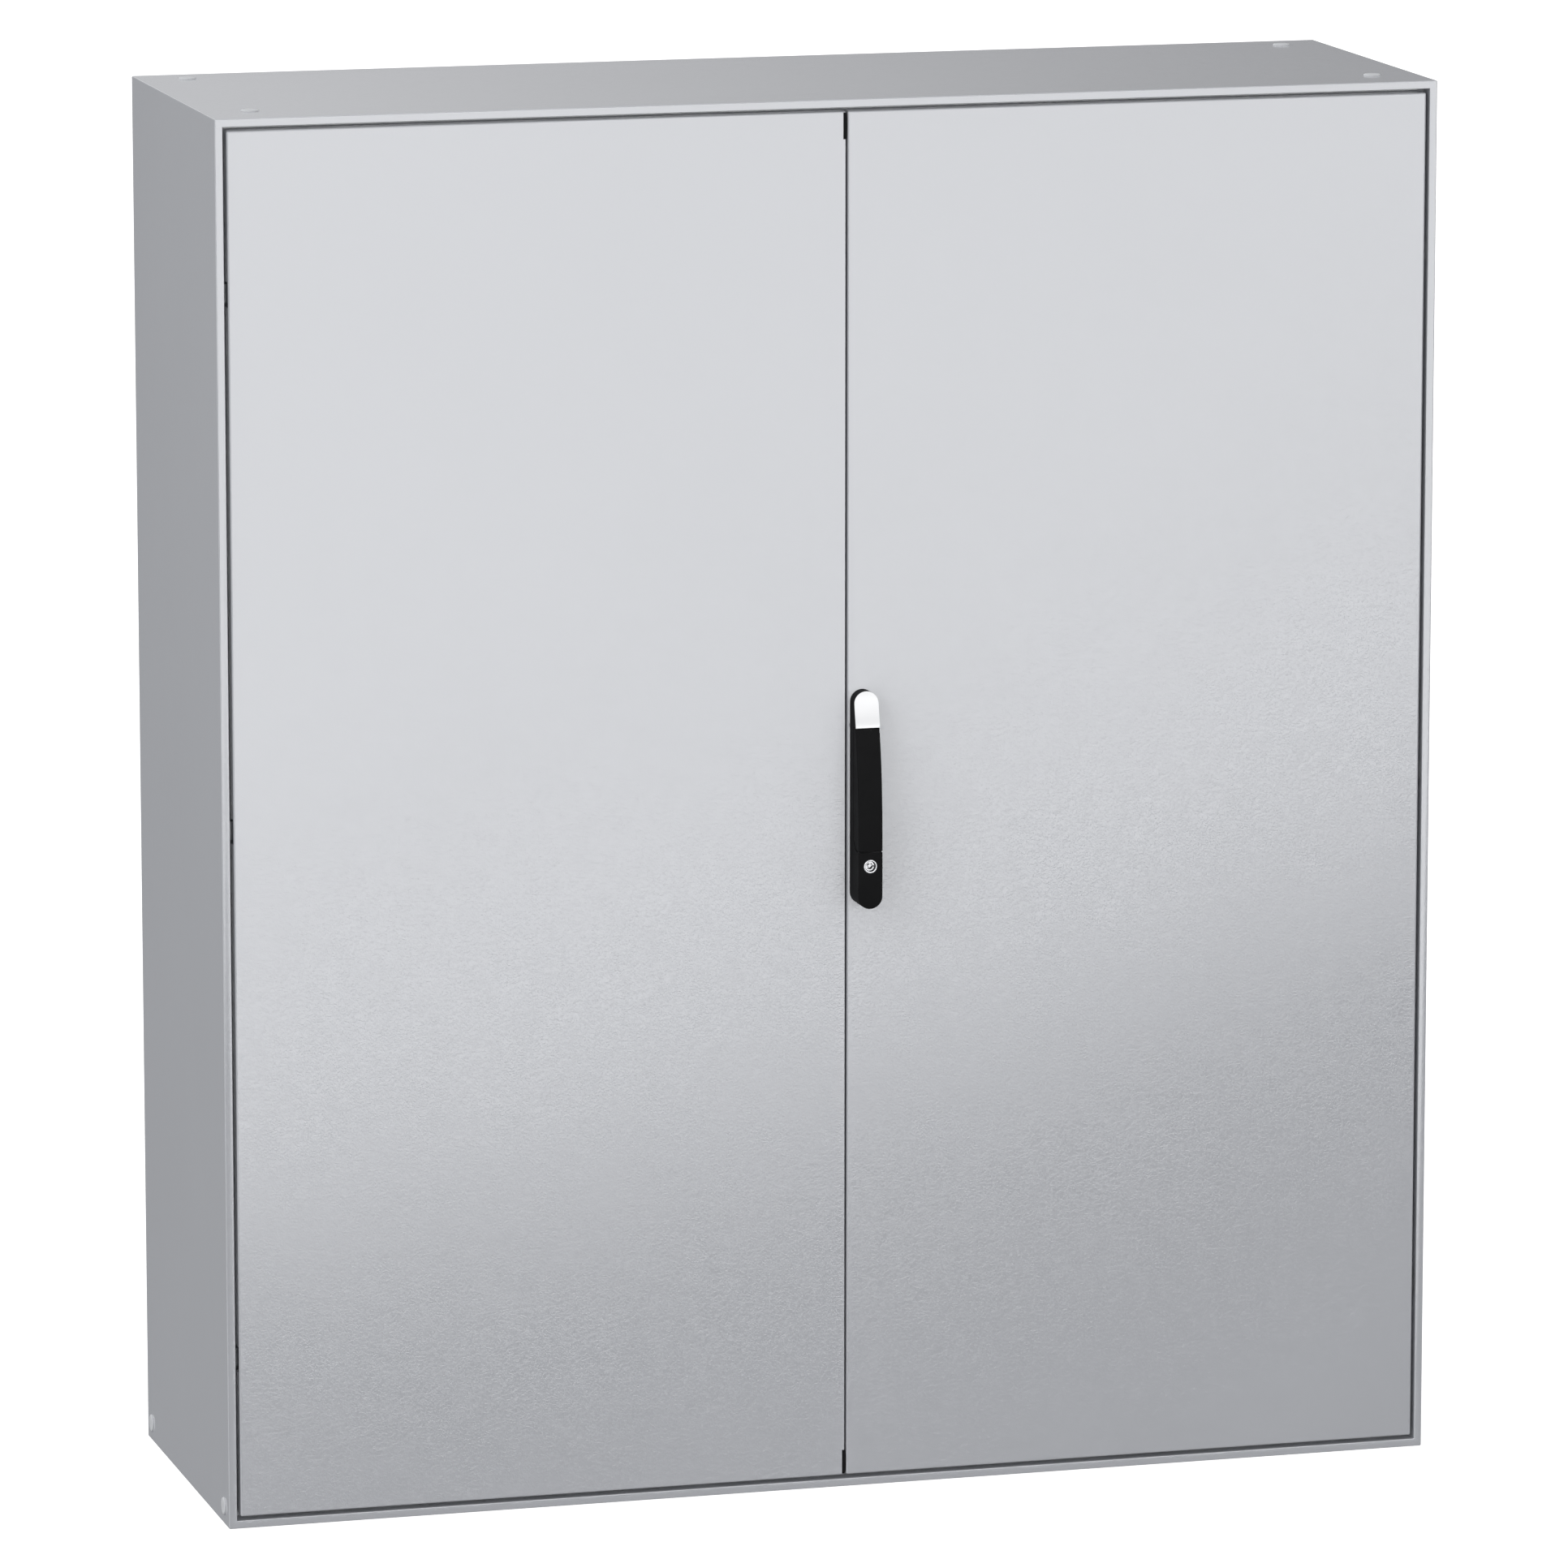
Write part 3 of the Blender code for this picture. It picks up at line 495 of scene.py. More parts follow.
def carve(bm, steps, bevel=None):
    """Runs Booleans on a bmesh: steps are (operation, bmesh).  Returns a new mesh object's bmesh."""
    me = bpy.data.meshes.new("work")
    bm.to_mesh(me)
    bm.free()
    ob = bpy.data.objects.new("work", me)
    bpy.context.scene.collection.objects.link(ob)
    tools = []
    for op, tb in steps:
        if op == 'BEVEL':
            mod = ob.modifiers.new("b", 'BEVEL')
            mod.width, mod.segments, ang = tb
            mod.limit_method = 'ANGLE'
            mod.angle_limit = math.radians(ang)
            continue
        tm = bpy.data.meshes.new("tool")
        tb.to_mesh(tm)
        tb.free()
        to = bpy.data.objects.new("tool", tm)
        bpy.context.scene.collection.objects.link(to)
        tools.append(to)
        mod = ob.modifiers.new("c", 'BOOLEAN')
        mod.operation = op
        mod.solver = 'EXACT'
        mod.object = to
    bpy.context.view_layer.update()
    dg = bpy.context.evaluated_depsgraph_get()
    out = bmesh.new()
    done = bpy.data.meshes.new_from_object(ob.evaluated_get(dg))
    out.from_mesh(done)
    for o in tools + [ob]:
        bpy.data.objects.remove(o, do_unlink=True)
    bmesh.ops.remove_doubles(out, verts=out.verts, dist=0.000003)
    return out


def turned(profile, seg=48):
    """A turned bmesh round +Z from (radius, height) pairs, top to bottom."""
    bm = bmesh.new()
    rings = []
    for r, z in profile:
        if r <= 1e-7:
            rings.append([bm.verts.new((0, 0, z))])
        else:
            rings.append([bm.verts.new((r * math.cos(2 * math.pi * k / seg),
                                        r * math.sin(2 * math.pi * k / seg), z)) for k in range(seg)])
    for a, b in zip(rings, rings[1:]):
        for k in range(seg):
            j = (k + 1) % seg
            if len(a) == 1:
                bm.faces.new((a[0], b[k], b[j]))
            elif len(b) == 1:
                bm.faces.new((a[k], b[0], a[j]))
            else:
                bm.faces.new((a[k], b[k], b[j], a[j]))
    if len(rings[-1]) > 1:
        bm.faces.new(rings[-1])
    if len(rings[0]) > 1:
        bm.faces.new(rings[0][::-1])
    bmesh.ops.recalc_face_normals(bm, faces=bm.faces)
    return bm


def facing(point, outward):
    """Matrix that stands a turned piece at (x, d, z) with its +Z along outward."""
    q = Vector(outward).to_track_quat('Z', 'Y')
    return Matrix.Translation((point[0], yd(point[1]), point[2])) @ q.to_matrix().to_4x4()


def merge_in(bm, other, matrix):
    """Adds a copy of bmesh other, moved by matrix, into bm."""
    me = bpy.data.meshes.new("t")
    other.to_mesh(me)
    me.transform(matrix)
    bm.from_mesh(me)
    bpy.data.meshes.remove(me)


def pan_screw(r=0.004, h=0.0024, cross=True):
    """Low pan head with a cross recess on a washer, seated at z = 0."""
    prof = [(0, h)]
    for k in range(1, 7):
        a = math.pi / 2 * k / 6
        prof.append((r * math.sin(a) ** 0.9, h * (0.35 + 0.65 * math.cos(a))))
    prof += [(r, 0.00045), (r * 1.5, 0.00045), (r * 1.53, 0.0003), (r * 1.53, 0.00002)]
    bm = turned(prof, 28)
    if cross:
        steps = []
        for a in (0, math.pi / 2):
            t = bmesh.new()
            bmesh.ops.create_cube(t, size=1.0, matrix=Matrix.Rotation(a, 4, 'Z')
                                  @ Matrix.Translation((0, 0, h)) @ Matrix.Diagonal((r * 1.15, r * 0.26, h * 0.9, 1)))
            steps.append(('DIFFERENCE', t))
        bm = carve(bm, steps)
    return bm


def hex_nut(af=0.010, h=0.005, stud=0.003, stud_h=0.010, washer=0.009):
    """Nut and washer on a threaded stud end."""
    z0 = 0.0012
    bm = turned([(stud * 0.9, z0), (washer * 0.93, z0), (washer, z0 - 0.0003), (washer, 0.00002), (stud * 0.9, 0.00002)], 28)
    n = bmesh.new()
    bmesh.ops.create_cone(n, cap_ends=True, segments=6, radius1=af / math.sqrt(3), radius2=af / math.sqrt(3),
                          depth=h, matrix=Matrix.Translation((0, 0, z0 + h / 2 + 0.00002)))
    bmesh.ops.bevel(n, geom=n.edges[:], offset=0.0004, segments=2, profile=0.5, affect='EDGES')
    merge_in(bm, n, Matrix.Identity(4))
    n.free()
    prof = [(0.0, stud_h), (stud * 0.8, stud_h)]
    z = stud_h - stud * 0.2
    while z > z0 + h:
        prof += [(stud, z), (stud * 0.86, z - 0.0004)]
        z -= 0.0008
    prof += [(stud * 0.9, z0 + h * 0.5)]
    t = turned(prof, 20)
    merge_in(bm, t, Matrix.Identity(4))
    t.free()
    return bm


# =====================================================================
# handle: finer copies of the moulded pieces
# =====================================================================
HX, HW, HZ0, HZ1 = 0.0345, 0.032, 0.7670, 1.0455
SPZ, BASE_P, LIFT_Z, LIFT_P, LOCK_Z = 1.0295, 0.0175, 0.9952, 0.0228, 0.8223
GAP = 0.0003


def stadium(x, z0, z1, r, n=28):
    pts = []
    for c, s in ((z1 - r, 0.0), (z0 + r, math.pi)):
        for k in range(n + 1):
            a = s + math.pi * k / n
            pts.append((x + r * math.cos(a), c + r * math.sin(a)))
    return pts


def arc(cx, cz, r, a0, a1, n):
    return [(cx + r * math.cos(math.radians(a0 + (a1 - a0) * k / n)),
             cz + r * math.sin(math.radians(a0 + (a1 - a0) * k / n))) for k in range(n + 1)]


def spline(pts, n=5):
    """Catmull-Rom through the points."""
    out = []
    P = [pts[0]] + list(pts) + [pts[-1]]
    for i in range(1, len(P) - 2):
        p0, p1, p2, p3 = P[i - 1:i + 3]
        for k in range(n):
            t = k / n
            out.append(tuple(0.5 * (2 * b + (c - a) * t + (2 * a - 5 * b + 4 * c - e) * t * t
                                    + (3 * b - a - 3 * c + e) * t ** 3)
                             for a, b, c, e in zip(p0, p1, p2, p3)))
    out.append(tuple(pts[-1]))
    return out


def side(profile):
    return bm_prism([(-p, z) for p, z in profile], 'X', HX - 0.05, HX + 0.05)


PLAN = stadium(HX, HZ0, HZ1, HW / 2)


def moulded(name, profile, body, mat, nodes, extra=(), edge=0.0014, d0=-0.0460, d1=-0.0050):
    bm = carve(bm_prism(PLAN, 'D', d0, d1),
               [('INTERSECT', side(profile)), ('BEVEL', (edge, 4, 42))] + list(extra))
    ob = put(name, bm, mat, body, 28)
    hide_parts(*nodes)
    return ob


ramp = spline([(BASE_P, 0.8530), (0.0215, 0.8472), (0.0260, 0.8432), (0.0310, 0.8412), (0.0360, 0.8402)])
moulded("handle_base_moulding",
        [(0.0, 0.760), (0.0376, 0.760)] + spline([(0.0376, 0.7600), (0.0404, 0.7720), (0.0411, 0.8000), (0.0410, 0.8402)], 6)[1:]
        + ramp[::-1] + [(BASE_P, 1.060), (0.0, 1.060)],
        "right_door", BLACK, ["handle_base"],
        [('DIFFERENCE', bm_cyl((HX, -0.010, SPZ), 'Y', 0.0065, 0.030, 40)),
         ('DIFFERENCE', bm_cyl((HX, -0.025, LOCK_Z), 'Y', 0.00905, 0.060, 56))], 0.0014, -0.0460, -0.0003)

lever_low = spline([(0.0180, 0.8545), (0.0219, 0.8486), (0.0263, 0.8446), (0.0312, 0.8425), (0.0361, 0.8414)]) + [(0.0419, 0.8413)]
lever_front = spline([(0.0419, 0.8413), (0.0419, 0.8600), (0.0412, 0.8850), (0.0396, 0.9150), (0.0372, 0.9420),
                      (0.0335, 0.9680), (0.0298, 0.9860)], 5)
lever_front = [(min(p, 0.0420), z) for p, z in lever_front]
moulded("handle_lever_moulding",
        lever_low[:-1] + lever_front + arc(LIFT_P, LIFT_Z, 0.0048, 10, 180, 18) + [(0.0180, 0.9900)],
        "lever", BLACK, ["handle_lever"],
        [('DIFFERENCE', bm_box(HX - 0.0046, HX + 0.0046, -LIFT_P, -0.0100, 0.9899, 1.0200)),
         ('DIFFERENCE', bm_box(HX - 0.0046, HX + 0.0046, -0.0500, -0.0150, 0.9954, 1.0200)),
         ('DIFFERENCE', bm_cyl((HX, -LIFT_P, LIFT_Z), 'X', 0.0045, 0.0092, 40)),
         ('DIFFERENCE', bm_cyl((HX, -LIFT_P, LIFT_Z), 'X', 0.0018, 0.0260, 24))])

HEAD = spline([(0.0284, 0.9994), (0.0280, 1.0030), (0.0250, 1.0150), (0.0222, 1.0280), (0.0206, 1.0390), (0.0200, 1.0600)], 5)
CAP_T = 0.0010
low = [(p - CAP_T - GAP, z) for p, z in HEAD]
moulded("handle_head_moulding",
        [(0.0179, 1.0600), (0.0179, 0.9990)] + arc(LIFT_P, LIFT_Z, 0.0053, 140, 58, 10) + [(0.0266, 0.9992)] + low[2:],
        "handle", BLACK, ["handle_rotor"],
        [('UNION', bm_cyl((HX, 0.0115, SPZ), 'Y', 0.0060, 0.0600, 40)),
         ('UNION', bm_prism([(-p, z) for p, z in [(0.0179, 1.0080), (0.0179, 0.9940)]
                    + arc(LIFT_P, LIFT_Z, 0.0042, 200, 360, 14) + [(0.0255, 1.0010), (0.0240, 1.0080)]],
                   'X', HX - 0.0042, HX + 0.0042)),
         ('DIFFERENCE', bm_cyl((HX, -LIFT_P, LIFT_Z), 'X', 0.0018, 0.020, 24))], 0.0006)

moulded("handle_cover_plate", [(0.0274, 0.9994)] + HEAD + [(p - CAP_T, z) for p, z in HEAD][:0:-1],
        "handle", WHITE, ["handle_cap"], (), 0.00035)

# =====================================================================
# lock insert: plated barrel with a rolled rim, core with a double-bit recess
# =====================================================================
prof = [(0.0065, -0.0415 + 0.0012), (0.0068, -0.0418), (0.0074, -0.0420), (0.0082, -0.0419), (0.0087, -0.0414),
        (0.00875, -0.0408)]
bm = turned([(r, -d) for r, d in prof] + [(0.00875, -0.0060), (0.0065, -0.0060)], 64)
# hollow it: the inner wall joins the first and last rings
inner = [f for f in bm.faces if len(f.verts) == 64]
bmesh.ops.delete(bm, geom=inner, context='FACES_ONLY')
ends = sorted([v for v in bm.verts if v.link_edges and any(e.is_boundary for e in v.link_edges)],
              key=lambda v: (round(v.co.z, 5), math.atan2(v.co.y, v.co.x)))
half = len(ends) // 2
a, b = ends[:half], ends[half:]
for k in range(half):
    j = (k + 1) % half
    bm.faces.new((a[k], a[j], b[j], b[k]))
bmesh.ops.recalc_face_normals(bm, faces=bm.faces)
for f in bm.faces:
    f.smooth = True
ob = put("lock_barrel_turned", bm, DIECAST, "right_door", 30,
         facing((HX, 0.0, LOCK_Z), (0, -1, 0)))
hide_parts("lock_barrel")

bm = bm_cyl((HX, -0.02365, LOCK_Z), 'Y', 0.0062, 0.0263, 64)
cutb = bm_cyl((HX, -0.0365, LOCK_Z), 'Y', 0.0042, 0.0170, 48)
core = carve(bm, [('BEVEL', (0.0004, 2, 40)), ('DIFFERENCE', cutb),
                  ('DIFFERENCE', bm_box(HX + 0.0020, HX + 0.0056, -0.0435, -0.0295, LOCK_Z - 0.0011, LOCK_Z + 0.0011)),
                  ('UNION', carve(bm_cyl((HX, -0.03105, LOCK_Z), 'Y', 0.0023, 0.0105, 36), [('BEVEL', (0.0005, 3, 40))])),
                  ('UNION', bm_box(HX - 0.0046, HX - 0.0010, -0.0340, -0.0270, LOCK_Z - 0.0060 * 0.35, LOCK_Z + 0.0060 * 0.05))])
ob = put("lock_core_doublebit", core, DIECAST, "lock_core", 30)
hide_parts("lock_core")

for name in ("handle_base_moulding", "handle_lever_moulding", "handle_head_moulding", "handle_cover_plate",
             "lock_barrel_turned", "lock_core_doublebit"):
    bpy.data.objects[name].visible_glossy = False

# =====================================================================
# blanking plugs, finer
# =====================================================================
plug_prof = [(0.0, 0.0020), (0.0060, 0.00199), (0.0094, 0.00195), (0.0102, 0.00182), (0.0107, 0.00155), (0.0109, 0.0012),
             (0.0111, 0.0006), (0.0112, 0.00008), (0.0098, 0.00008), (0.0066, 0.0003),
             (0.0064, -0.0018), (0.0072, -0.0026), (0.0062, -0.0060), (0.0050, -0.0060), (0.0048, -0.0010), (0.0, -0.0010)]
for name, ob in list(NODES.items()):
    if not name.startswith(("roof_plug", "side_plug")):
        continue
    lo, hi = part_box(name)
    c = (lo + hi) / 2
    if name.startswith("roof"):
        m = facing((c.x, c.y + YC, 1.8), (0, 0, 1))
    else:
        s = 1 if c.x > 0 else -1
        m = facing((s * 0.8, c.y + YC, c.z), (s, 0, 0))
    p = put(name + "_cap", turned(plug_prof, 56), PLUG, "cabinet", 50, m)
    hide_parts(name)


# =====================================================================
# notch plugs: moulded noses that bridge the gap between the doors
# =====================================================================
for end, za, zb in (("bottom", 0.0168, 0.0482), ("top", 1.7498, 1.7832)):
    mid = (za + zb) / 2
    h = (zb - za) / 2
    pts = [(0.0095, za), (0.0128, za)]
    pts += [(0.0128 + 0.0016 * math.sin(math.pi * k / 12) ** 0.7, mid - h * math.cos(math.pi * k / 12)) for k in range(1, 12)]
    pts += [(0.0128, zb), (0.0095, zb)]
    bm = carve(bm_prism(pts, 'D', 0.0010, 0.0112), [('BEVEL', (0.0004, 2, 40))])
    bm2 = carve(bm_box(0.0096, 0.0118, 0.0100, 0.0146, za + 0.0003, zb - 0.0003), [('BEVEL', (0.0003, 2, 40))])
    merge_in(bm, bm2, Matrix.Identity(4))
    bm2.free()
    ob = put("notch_plug_nose_" + end, bm, BLACK, "left_door", 30)
    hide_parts("notch_plug_" + end)

# =====================================================================
# door seals: foamed beads with a soft, slightly wavy crown
# =====================================================================
def rounded_loop(x0, x1, z0, z1, r):
    """Points round a rectangle with rounded corners, the same number whatever its size."""
    loop = []
    corners = []
    for cx, cz, a0 in ((x1 - r, z1 - r, 0), (x0 + r, z1 - r, 90), (x0 + r, z0 + r, 180), (x1 - r, z0 + r, 270)):
        corners.append([(cx + r * math.cos(math.radians(a0 + 90 * k / 8)),
                         cz + r * math.sin(math.radians(a0 + 90 * k / 8))) for k in range(9)])
    for i, c in enumerate(corners):
        loop += c
        nx = corners[(i + 1) % 4][0]
        n = 26 if i % 2 == 0 else 58
        loop += [(c[-1][0] + (nx[0] - c[-1][0]) * k / n, c[-1][1] + (nx[1] - c[-1][1]) * k / n) for k in range(1, n)]
    return loop


def bead(name, node, body, widths):
    """A closed foam bead round a door; widths are for the left, right, bottom and top runs."""
    lo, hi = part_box(node)
    wl, wr, wb, wt = widths
    outer = rounded_loop(lo.x, hi.x, lo.z, hi.z, 0.0125)
    inner = rounded_loop(lo.x + wl, hi.x - wr, lo.z + wb, hi.z - wt, 0.0060)
    d0, d1 = lo.y + YC + 0.0001, hi.y + YC
    bm = bmesh.new()
    rings = []
    m = 13
    for i, ((ox, oz), (ix, iz)) in enumerate(zip(outer, inner)):
        crown = (d1 - d0) * (0.985 + 0.012 * math.sin(i * 0.9))
        wob = 0.02 * math.sin(i * 1.7) * math.sin(i * 0.53 + 1.0)
        ring = []
        for k in range(m):
            a = math.pi * k / (m - 1)
            t = 0.5 + 0.5 * math.cos(a) * (0.96 + wob)
            ring.append(bm.verts.new((ix + (ox - ix) * t, yd(d0 + crown * max(0.0, math.sin(a)) ** 0.6), iz + (oz - iz) * t)))
        rings.append(ring)
    n = len(rings)
    for i in range(n):
        p, q = rings[i], rings[(i + 1) % n]
        for k in range(m):
            kk = (k + 1) % m
            bm.faces.new((p[k], p[kk], q[kk], q[k]))
    bmesh.ops.recalc_face_normals(bm, faces=bm.faces)
    ob = put(name, bm, FOAM, body, 40)
    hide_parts(node)
    return ob


bead("left_door_seal_bead", "left_door_gasket", "left_door", (0.0113, 0.0058, 0.0113, 0.0113))
bead("right_door_seal_bead", "right_door_gasket", "right_door", (0.0048, 0.0113, 0.0113, 0.0113))


# =====================================================================
# small fasteners and stiffeners, inside and at the back
# =====================================================================
def group(name, unit, spots, mat, body):
    """Many copies of one fastener in one piece."""
    bm = bmesh.new()
    for point, outward, spin in spots:
        merge_in(bm, unit, facing(point, outward) @ Matrix.Rotation(spin, 4, 'Z'))
    return put(name, bm, mat, body, 35)


# rear panel: pressed dimples hold the screw heads flush
XR, ZR = 0.786, (0.0145, 1.7855)
spots = [(x, ZR[i]) for i in (0, 1) for x in (-XR, -0.393, 0.0, 0.393, XR)]
spots += [(s * XR, z) for s in (-1, 1) for z in (0.3, 0.6, 0.9, 1.2, 1.5)]
bm = bm_box(-0.7985, 0.7985, 0.5003, 0.5040, 0.0015, 1.7985)
dimples = bmesh.new()
for x, z in spots:
    bm_cyl((x, 0.5040, z), 'Y', 0.0078, 0.0024, 32, dimples, 0.0092)
bm = carve(bm, [('BEVEL', (0.0011, 3, 40)),
                ('DIFFERENCE', bm_box(-0.7970, 0.7970, 0.4900, 0.5020, 0.0030, 1.7970)),
                ('DIFFERENCE', dimples)])
ob = put("rear_panel_pressed", bm, PAINT, "cabinet", 30)
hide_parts("rear_panel")
screw = pan_screw(0.0036, 0.0011)
group("rear_panel_screws", screw, [((x, 0.50282, z), (0, 1, 0), x * 7 + z * 5) for x, z in spots],
      ZINC, "cabinet")
screw.free()

# floor plate screws, mounting plate nuts, earth studs
screw = pan_screw(0.0042, 0.0024)
spots = [(x, d) for d in (0.086, 0.424) for x in (-0.69, -0.46, -0.23, 0.0, 0.23, 0.46, 0.69)]
spots += [(x, 0.255) for x in (-0.703, 0.703)]
group("gland_plate_screws", screw, [((x, d, 0.0038), (0, 0, 1), x * 9 + d * 20) for x, d in spots],
      ZINC, "cabinet")
nut = hex_nut(0.013, 0.0065, 0.004, 0.0135, 0.0120)
group("mounting_plate_nuts", nut, [((s * 0.722, 0.440, z), (0, -1, 0), s * z) for s in (-1, 1) for z in (0.2, 1.6)],
      ZINC, "cabinet")
nut.free()


# =====================================================================
# doors inside: punched frame rails welded to the skin, earth studs
# =====================================================================
def rail(bm, x0, x1, z0, z1, upright, depth=0.0185):
    """A folded U rail with rows of punched holes, open towards the door skin."""
    t = 0.0015
    d0, d1 = 0.00235, depth
    outer = bm_box(x0, x1, d0, d1, z0, z1)
    steps = [('BEVEL', (0.0016, 3, 40)), ('DIFFERENCE', bm_box(x0 + t, x1 - t, d0 - 0.01, d1 - t, z0 + t, z1 - t))]
    holes = bmesh.new()
    c = (x0 + x1) / 2 if upright else (z0 + z1) / 2
    lo, hi = (z0, z1) if upright else (x0, x1)
    n = int((hi - lo - 0.04) / 0.025)
    start = (lo + hi) / 2 - n * 0.025 / 2
    for k in range(n + 1):
        p = start + k * 0.025
        if k % 2:
            bm_cyl((c, d1, p) if upright else (p, d1, c), 'Y', 0.0041, 0.010, 20, holes)
        else:
            w, h = (0.0034, 0.0070) if upright else (0.0070, 0.0034)
            cc = (c, p) if upright else (p, c)
            bm_box(cc[0] - w, cc[0] + w, d1 - 0.005, d1 + 0.005, cc[1] - h, cc[1] + h, holes)
    steps.append(('DIFFERENCE', holes))
    merge_in(bm, carve(outer, steps), Matrix.Identity(4))


def door_frame(name, body, x0, x1, z0, z1, w=0.018):
    bm = bmesh.new()
    rail(bm, x0, x0 + w, z0, z1, True)
    rail(bm, x1 - w, x1, z0, z1, True)
    rail(bm, x0 + w + 0.0002, x1 - w - 0.0002, z0, z0 + w, False)
    rail(bm, x0 + w + 0.0002, x1 - w - 0.0002, z1 - w, z1, False)
    return put(name, bm, PAINT, body, 30)


door_frame("left_door_frame_rails", "left_door", -0.742, -0.040, 0.058, 1.742)
door_frame("right_door_frame_rails", "right_door", 0.066, 0.742, 0.058, 1.742)
stud = hex_nut(0.010, 0.0050, 0.003, 0.0125, 0.0075)
group("left_door_earth_stud", stud, [((-0.700, 0.0022, 0.100), (0, 1, 0), 0.3)], ZINC, "left_door")
group("right_door_earth_stud", stud, [((0.700, 0.0022, 0.100), (0, 1, 0), 0.9)], ZINC, "right_door")
screw.free()

# gearbox cover screws
screw = pan_screw(0.0026, 0.0016)
group("gearbox_cover_screws", screw, [((x, 0.0430, z), (0, 1, 0), x * 50 + z * 9)
                                      for x, z in ((0.0205, 0.9975), (0.0495, 0.9975), (0.0205, 1.0615), (0.0495, 1.0615))],
      ZINC, "right_door")

# =====================================================================
# stage: floor, light, camera
# =====================================================================
bm = bmesh.new()
bmesh.ops.create_grid(bm, x_segments=8, y_segments=8, size=260)
m = Mat("studio_floor", (0.80, 0.80, 0.80), 0.9)
haze = m.noise(0.6, 3.0, 0.5)
m.base(m.mix(haze, (0.79, 0.79, 0.79), (0.81, 0.81, 0.81)))
em = m.n("ShaderNodeEmission")
em.inputs["Color"].default_value = (1, 1, 1, 1)
em.inputs["Strength"].default_value = 0.97
df = m.n("ShaderNodeBsdfDiffuse")
df.inputs["Color"].default_value = (0.35, 0.35, 0.35, 1)
ad = m.n("ShaderNodeAddShader")
m.link(em.outputs[0], ad.inputs[0])
m.link(df.outputs[0], ad.inputs[1])
m.link(ad.outputs[0], m.nt.nodes["Material Output"].inputs["Surface"])
floor = put("studio_floor", bm, m.m, None)
floor.location = (0, 0, -0.0005)
floor.visible_glossy = False
floor.visible_diffuse = False
floor.visible_shadow = False

# ---- surrounding studio light, as a function of direction
GLOW = {"all": 0.06, "up": 0.594, "patch": 2.90, "back": 0.409, "left": 0.788, "front": 0.0,
        "right": 0.30, "rear": 0.45}
KEY_WATTS = 20.0
world = bpy.data.worlds.new("studio")
bpy.context.scene.world = world
world.use_nodes = True
nt = world.node_tree
for n in list(nt.nodes):
    nt.nodes.remove(n)


def wn(kind, **kw):
    node = nt.nodes.new(kind)
    for k, v in kw.items():
        setattr(node, k, v)
    return node


def wmath(op, a, b=0.0, c=None):
    node = wn("ShaderNodeMath", operation=op)
    for i, v in enumerate((a, b) if c is None else (a, b, c)):
        if isinstance(v, (int, float)):
            node.inputs[i].default_value = v
        else:
            nt.links.new(v, node.inputs[i])
    return node.outputs[0]


def wstep(v, lo, hi, out_lo=0.0, out_hi=1.0):
    node = wn("ShaderNodeMapRange", interpolation_type='SMOOTHSTEP')
    nt.links.new(v, node.inputs["Value"])
    node.inputs["From Min"].default_value = lo
    node.inputs["From Max"].default_value = hi
    node.inputs["To Min"].default_value = out_lo
    node.inputs["To Max"].default_value = out_hi
    return node.outputs["Result"]


tc = wn("ShaderNodeTexCoord")
sep = wn("ShaderNodeSeparateXYZ")
nt.links.new(tc.outputs["Generated"], sep.inputs[0])
X, Y, Z = sep.outputs
DEG = 180 / math.pi
el = wmath('MULTIPLY', wmath('ARCSINE', Z), DEG)
az = wmath('MULTIPLY', wmath('ARCTAN2', X, wmath('MULTIPLY', Y, -1.0)), DEG)     # 0 in front, + to the right
ab = wmath('MULTIPLY', wmath('ARCTAN2', X, Y), DEG)                              # 0 behind, + to the right
azc = wmath('MINIMUM', wmath('MAXIMUM', az, 6.0), 26.0)
p1 = wmath('SUBTRACT', azc, 12.3)
p2 = wmath('MULTIPLY', p1, wmath('SUBTRACT', azc, 15.7))
edge = wmath('ADD', wmath('ADD', wmath('MULTIPLY', p1, 0.206), wmath('MULTIPLY', p2, 0.026)), -13.15)
rel = wmath('SUBTRACT', el, edge)
low = wstep(rel, -0.5, 0.5)
high = wstep(el, 8.0, 24.0, 1.0, 0.0)
left = wstep(az, -10.0, 0.0)
right = wstep(az, 26.0, 40.0, 1.0, 0.0)
patch = wmath('MULTIPLY', wmath('MULTIPLY', low, high), wmath('MULTIPLY', left, right))
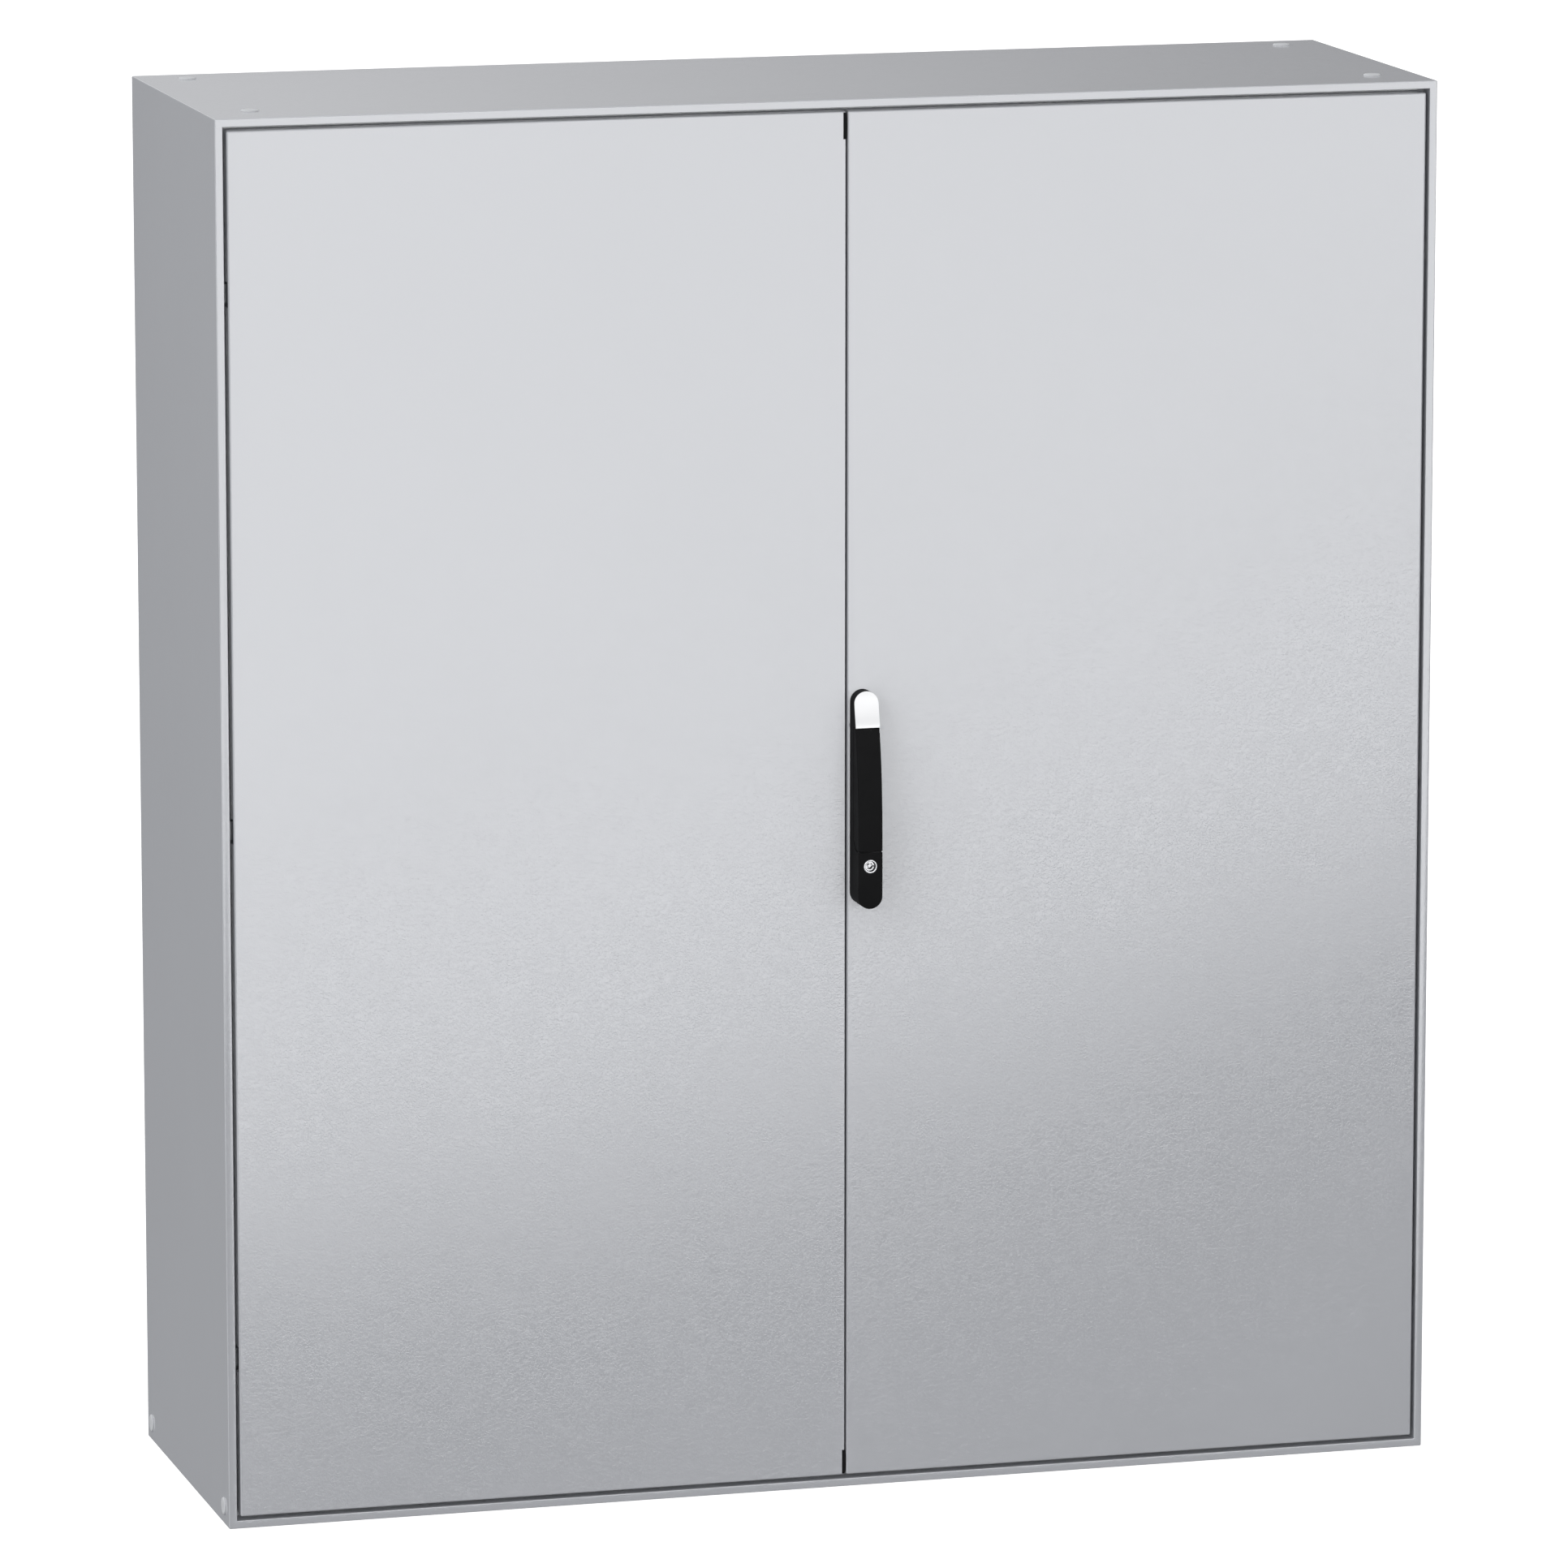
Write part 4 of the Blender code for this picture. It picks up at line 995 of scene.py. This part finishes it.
# behind, above the roof line: brighter to the left
roof = wmath('MULTIPLY', wstep(ab, 9.5, 21.5, 1.0, 0.0),
             wmath('MULTIPLY', wstep(el, 0.0, 6.0), wstep(el, 20.0, 40.0, 1.0, 0.0)))
roof = wmath('MULTIPLY', roof, wstep(Y, 0.2, 0.5))
side = wmath('MULTIPLY', wstep(X, -0.1, -0.9), 1.0)
front = wstep(Y, 0.0, -0.9)
flank = wstep(X, 0.42, 0.9)
rear = wmath('MULTIPLY', wstep(Y, 0.1, 0.7), wstep(el, 20.0, 38.0))
total = GLOW["all"]
for glow, share in ((wstep(Z, -0.3, 0.9), "up"), (patch, "patch"), (roof, "back"), (side, "left"), (front, "front"),
                    (flank, "right"), (rear, "rear")):
    total = wmath('ADD', wmath('MULTIPLY', glow, GLOW[share]), total)
bg = wn("ShaderNodeBackground")
bg.inputs["Color"].default_value = (0.985, 0.992, 1.006, 1)
nt.links.new(total, bg.inputs["Strength"])
white = wn("ShaderNodeBackground")
white.inputs["Color"].default_value = (1, 1, 1, 1)
white.inputs["Strength"].default_value = 1.05
lp = wn("ShaderNodeLightPath")
mx = wn("ShaderNodeMixShader")
nt.links.new(lp.outputs["Is Camera Ray"], mx.inputs[0])
nt.links.new(bg.outputs[0], mx.inputs[1])
nt.links.new(white.outputs[0], mx.inputs[2])
out = wn("ShaderNodeOutputWorld")
nt.links.new(mx.outputs[0], out.inputs["Surface"])
world.cycles.sampling_method = 'MANUAL'
world.cycles.sample_map_resolution = 1024

key_data = bpy.data.lights.new("key_softbox", 'AREA')
key_data.shape = 'RECTANGLE'
key_data.size = 1.8
key_data.size_y = 1.8
key_data.energy = KEY_WATTS
key = bpy.data.objects.new("key_softbox", key_data)
bpy.context.scene.collection.objects.link(key)
key.location = (-3.6, -3.0, 3.3)
key.rotation_euler = (Vector((-0.4, 0.0, 1.0)) - key.location).to_track_quat('-Z', 'Y').to_euler()

cam_data = bpy.data.cameras.new("camera")
cam_data.sensor_fit = 'HORIZONTAL'
cam_data.sensor_width = 36.0
cam_data.lens = 226.26
cam_data.clip_start = 0.1
cam_data.clip_end = 2000
cam = bpy.data.objects.new("camera", cam_data)
bpy.context.scene.collection.objects.link(cam)
R = Vector((0.9635715, -0.2674508, -0.0000744))
D = Vector((-0.0489853, -0.1762107, -0.9831329))
F = Vector((0.2629265, 0.9473225, -0.1828927))
cam.matrix_world = Matrix(((R.x, -D.x, -F.x, -3.367436), (R.y, -D.y, -F.y, -12.117164),
                           (R.z, -D.z, -F.z, 3.221980), (0, 0, 0, 1)))
bpy.context.scene.camera = cam

scene = bpy.context.scene
scene.view_settings.view_transform = 'Standard'
scene.view_settings.look = 'None'
scene.view_settings.exposure = 0.0
scene.view_settings.gamma = 1.0

bpy.context.view_layer.update()
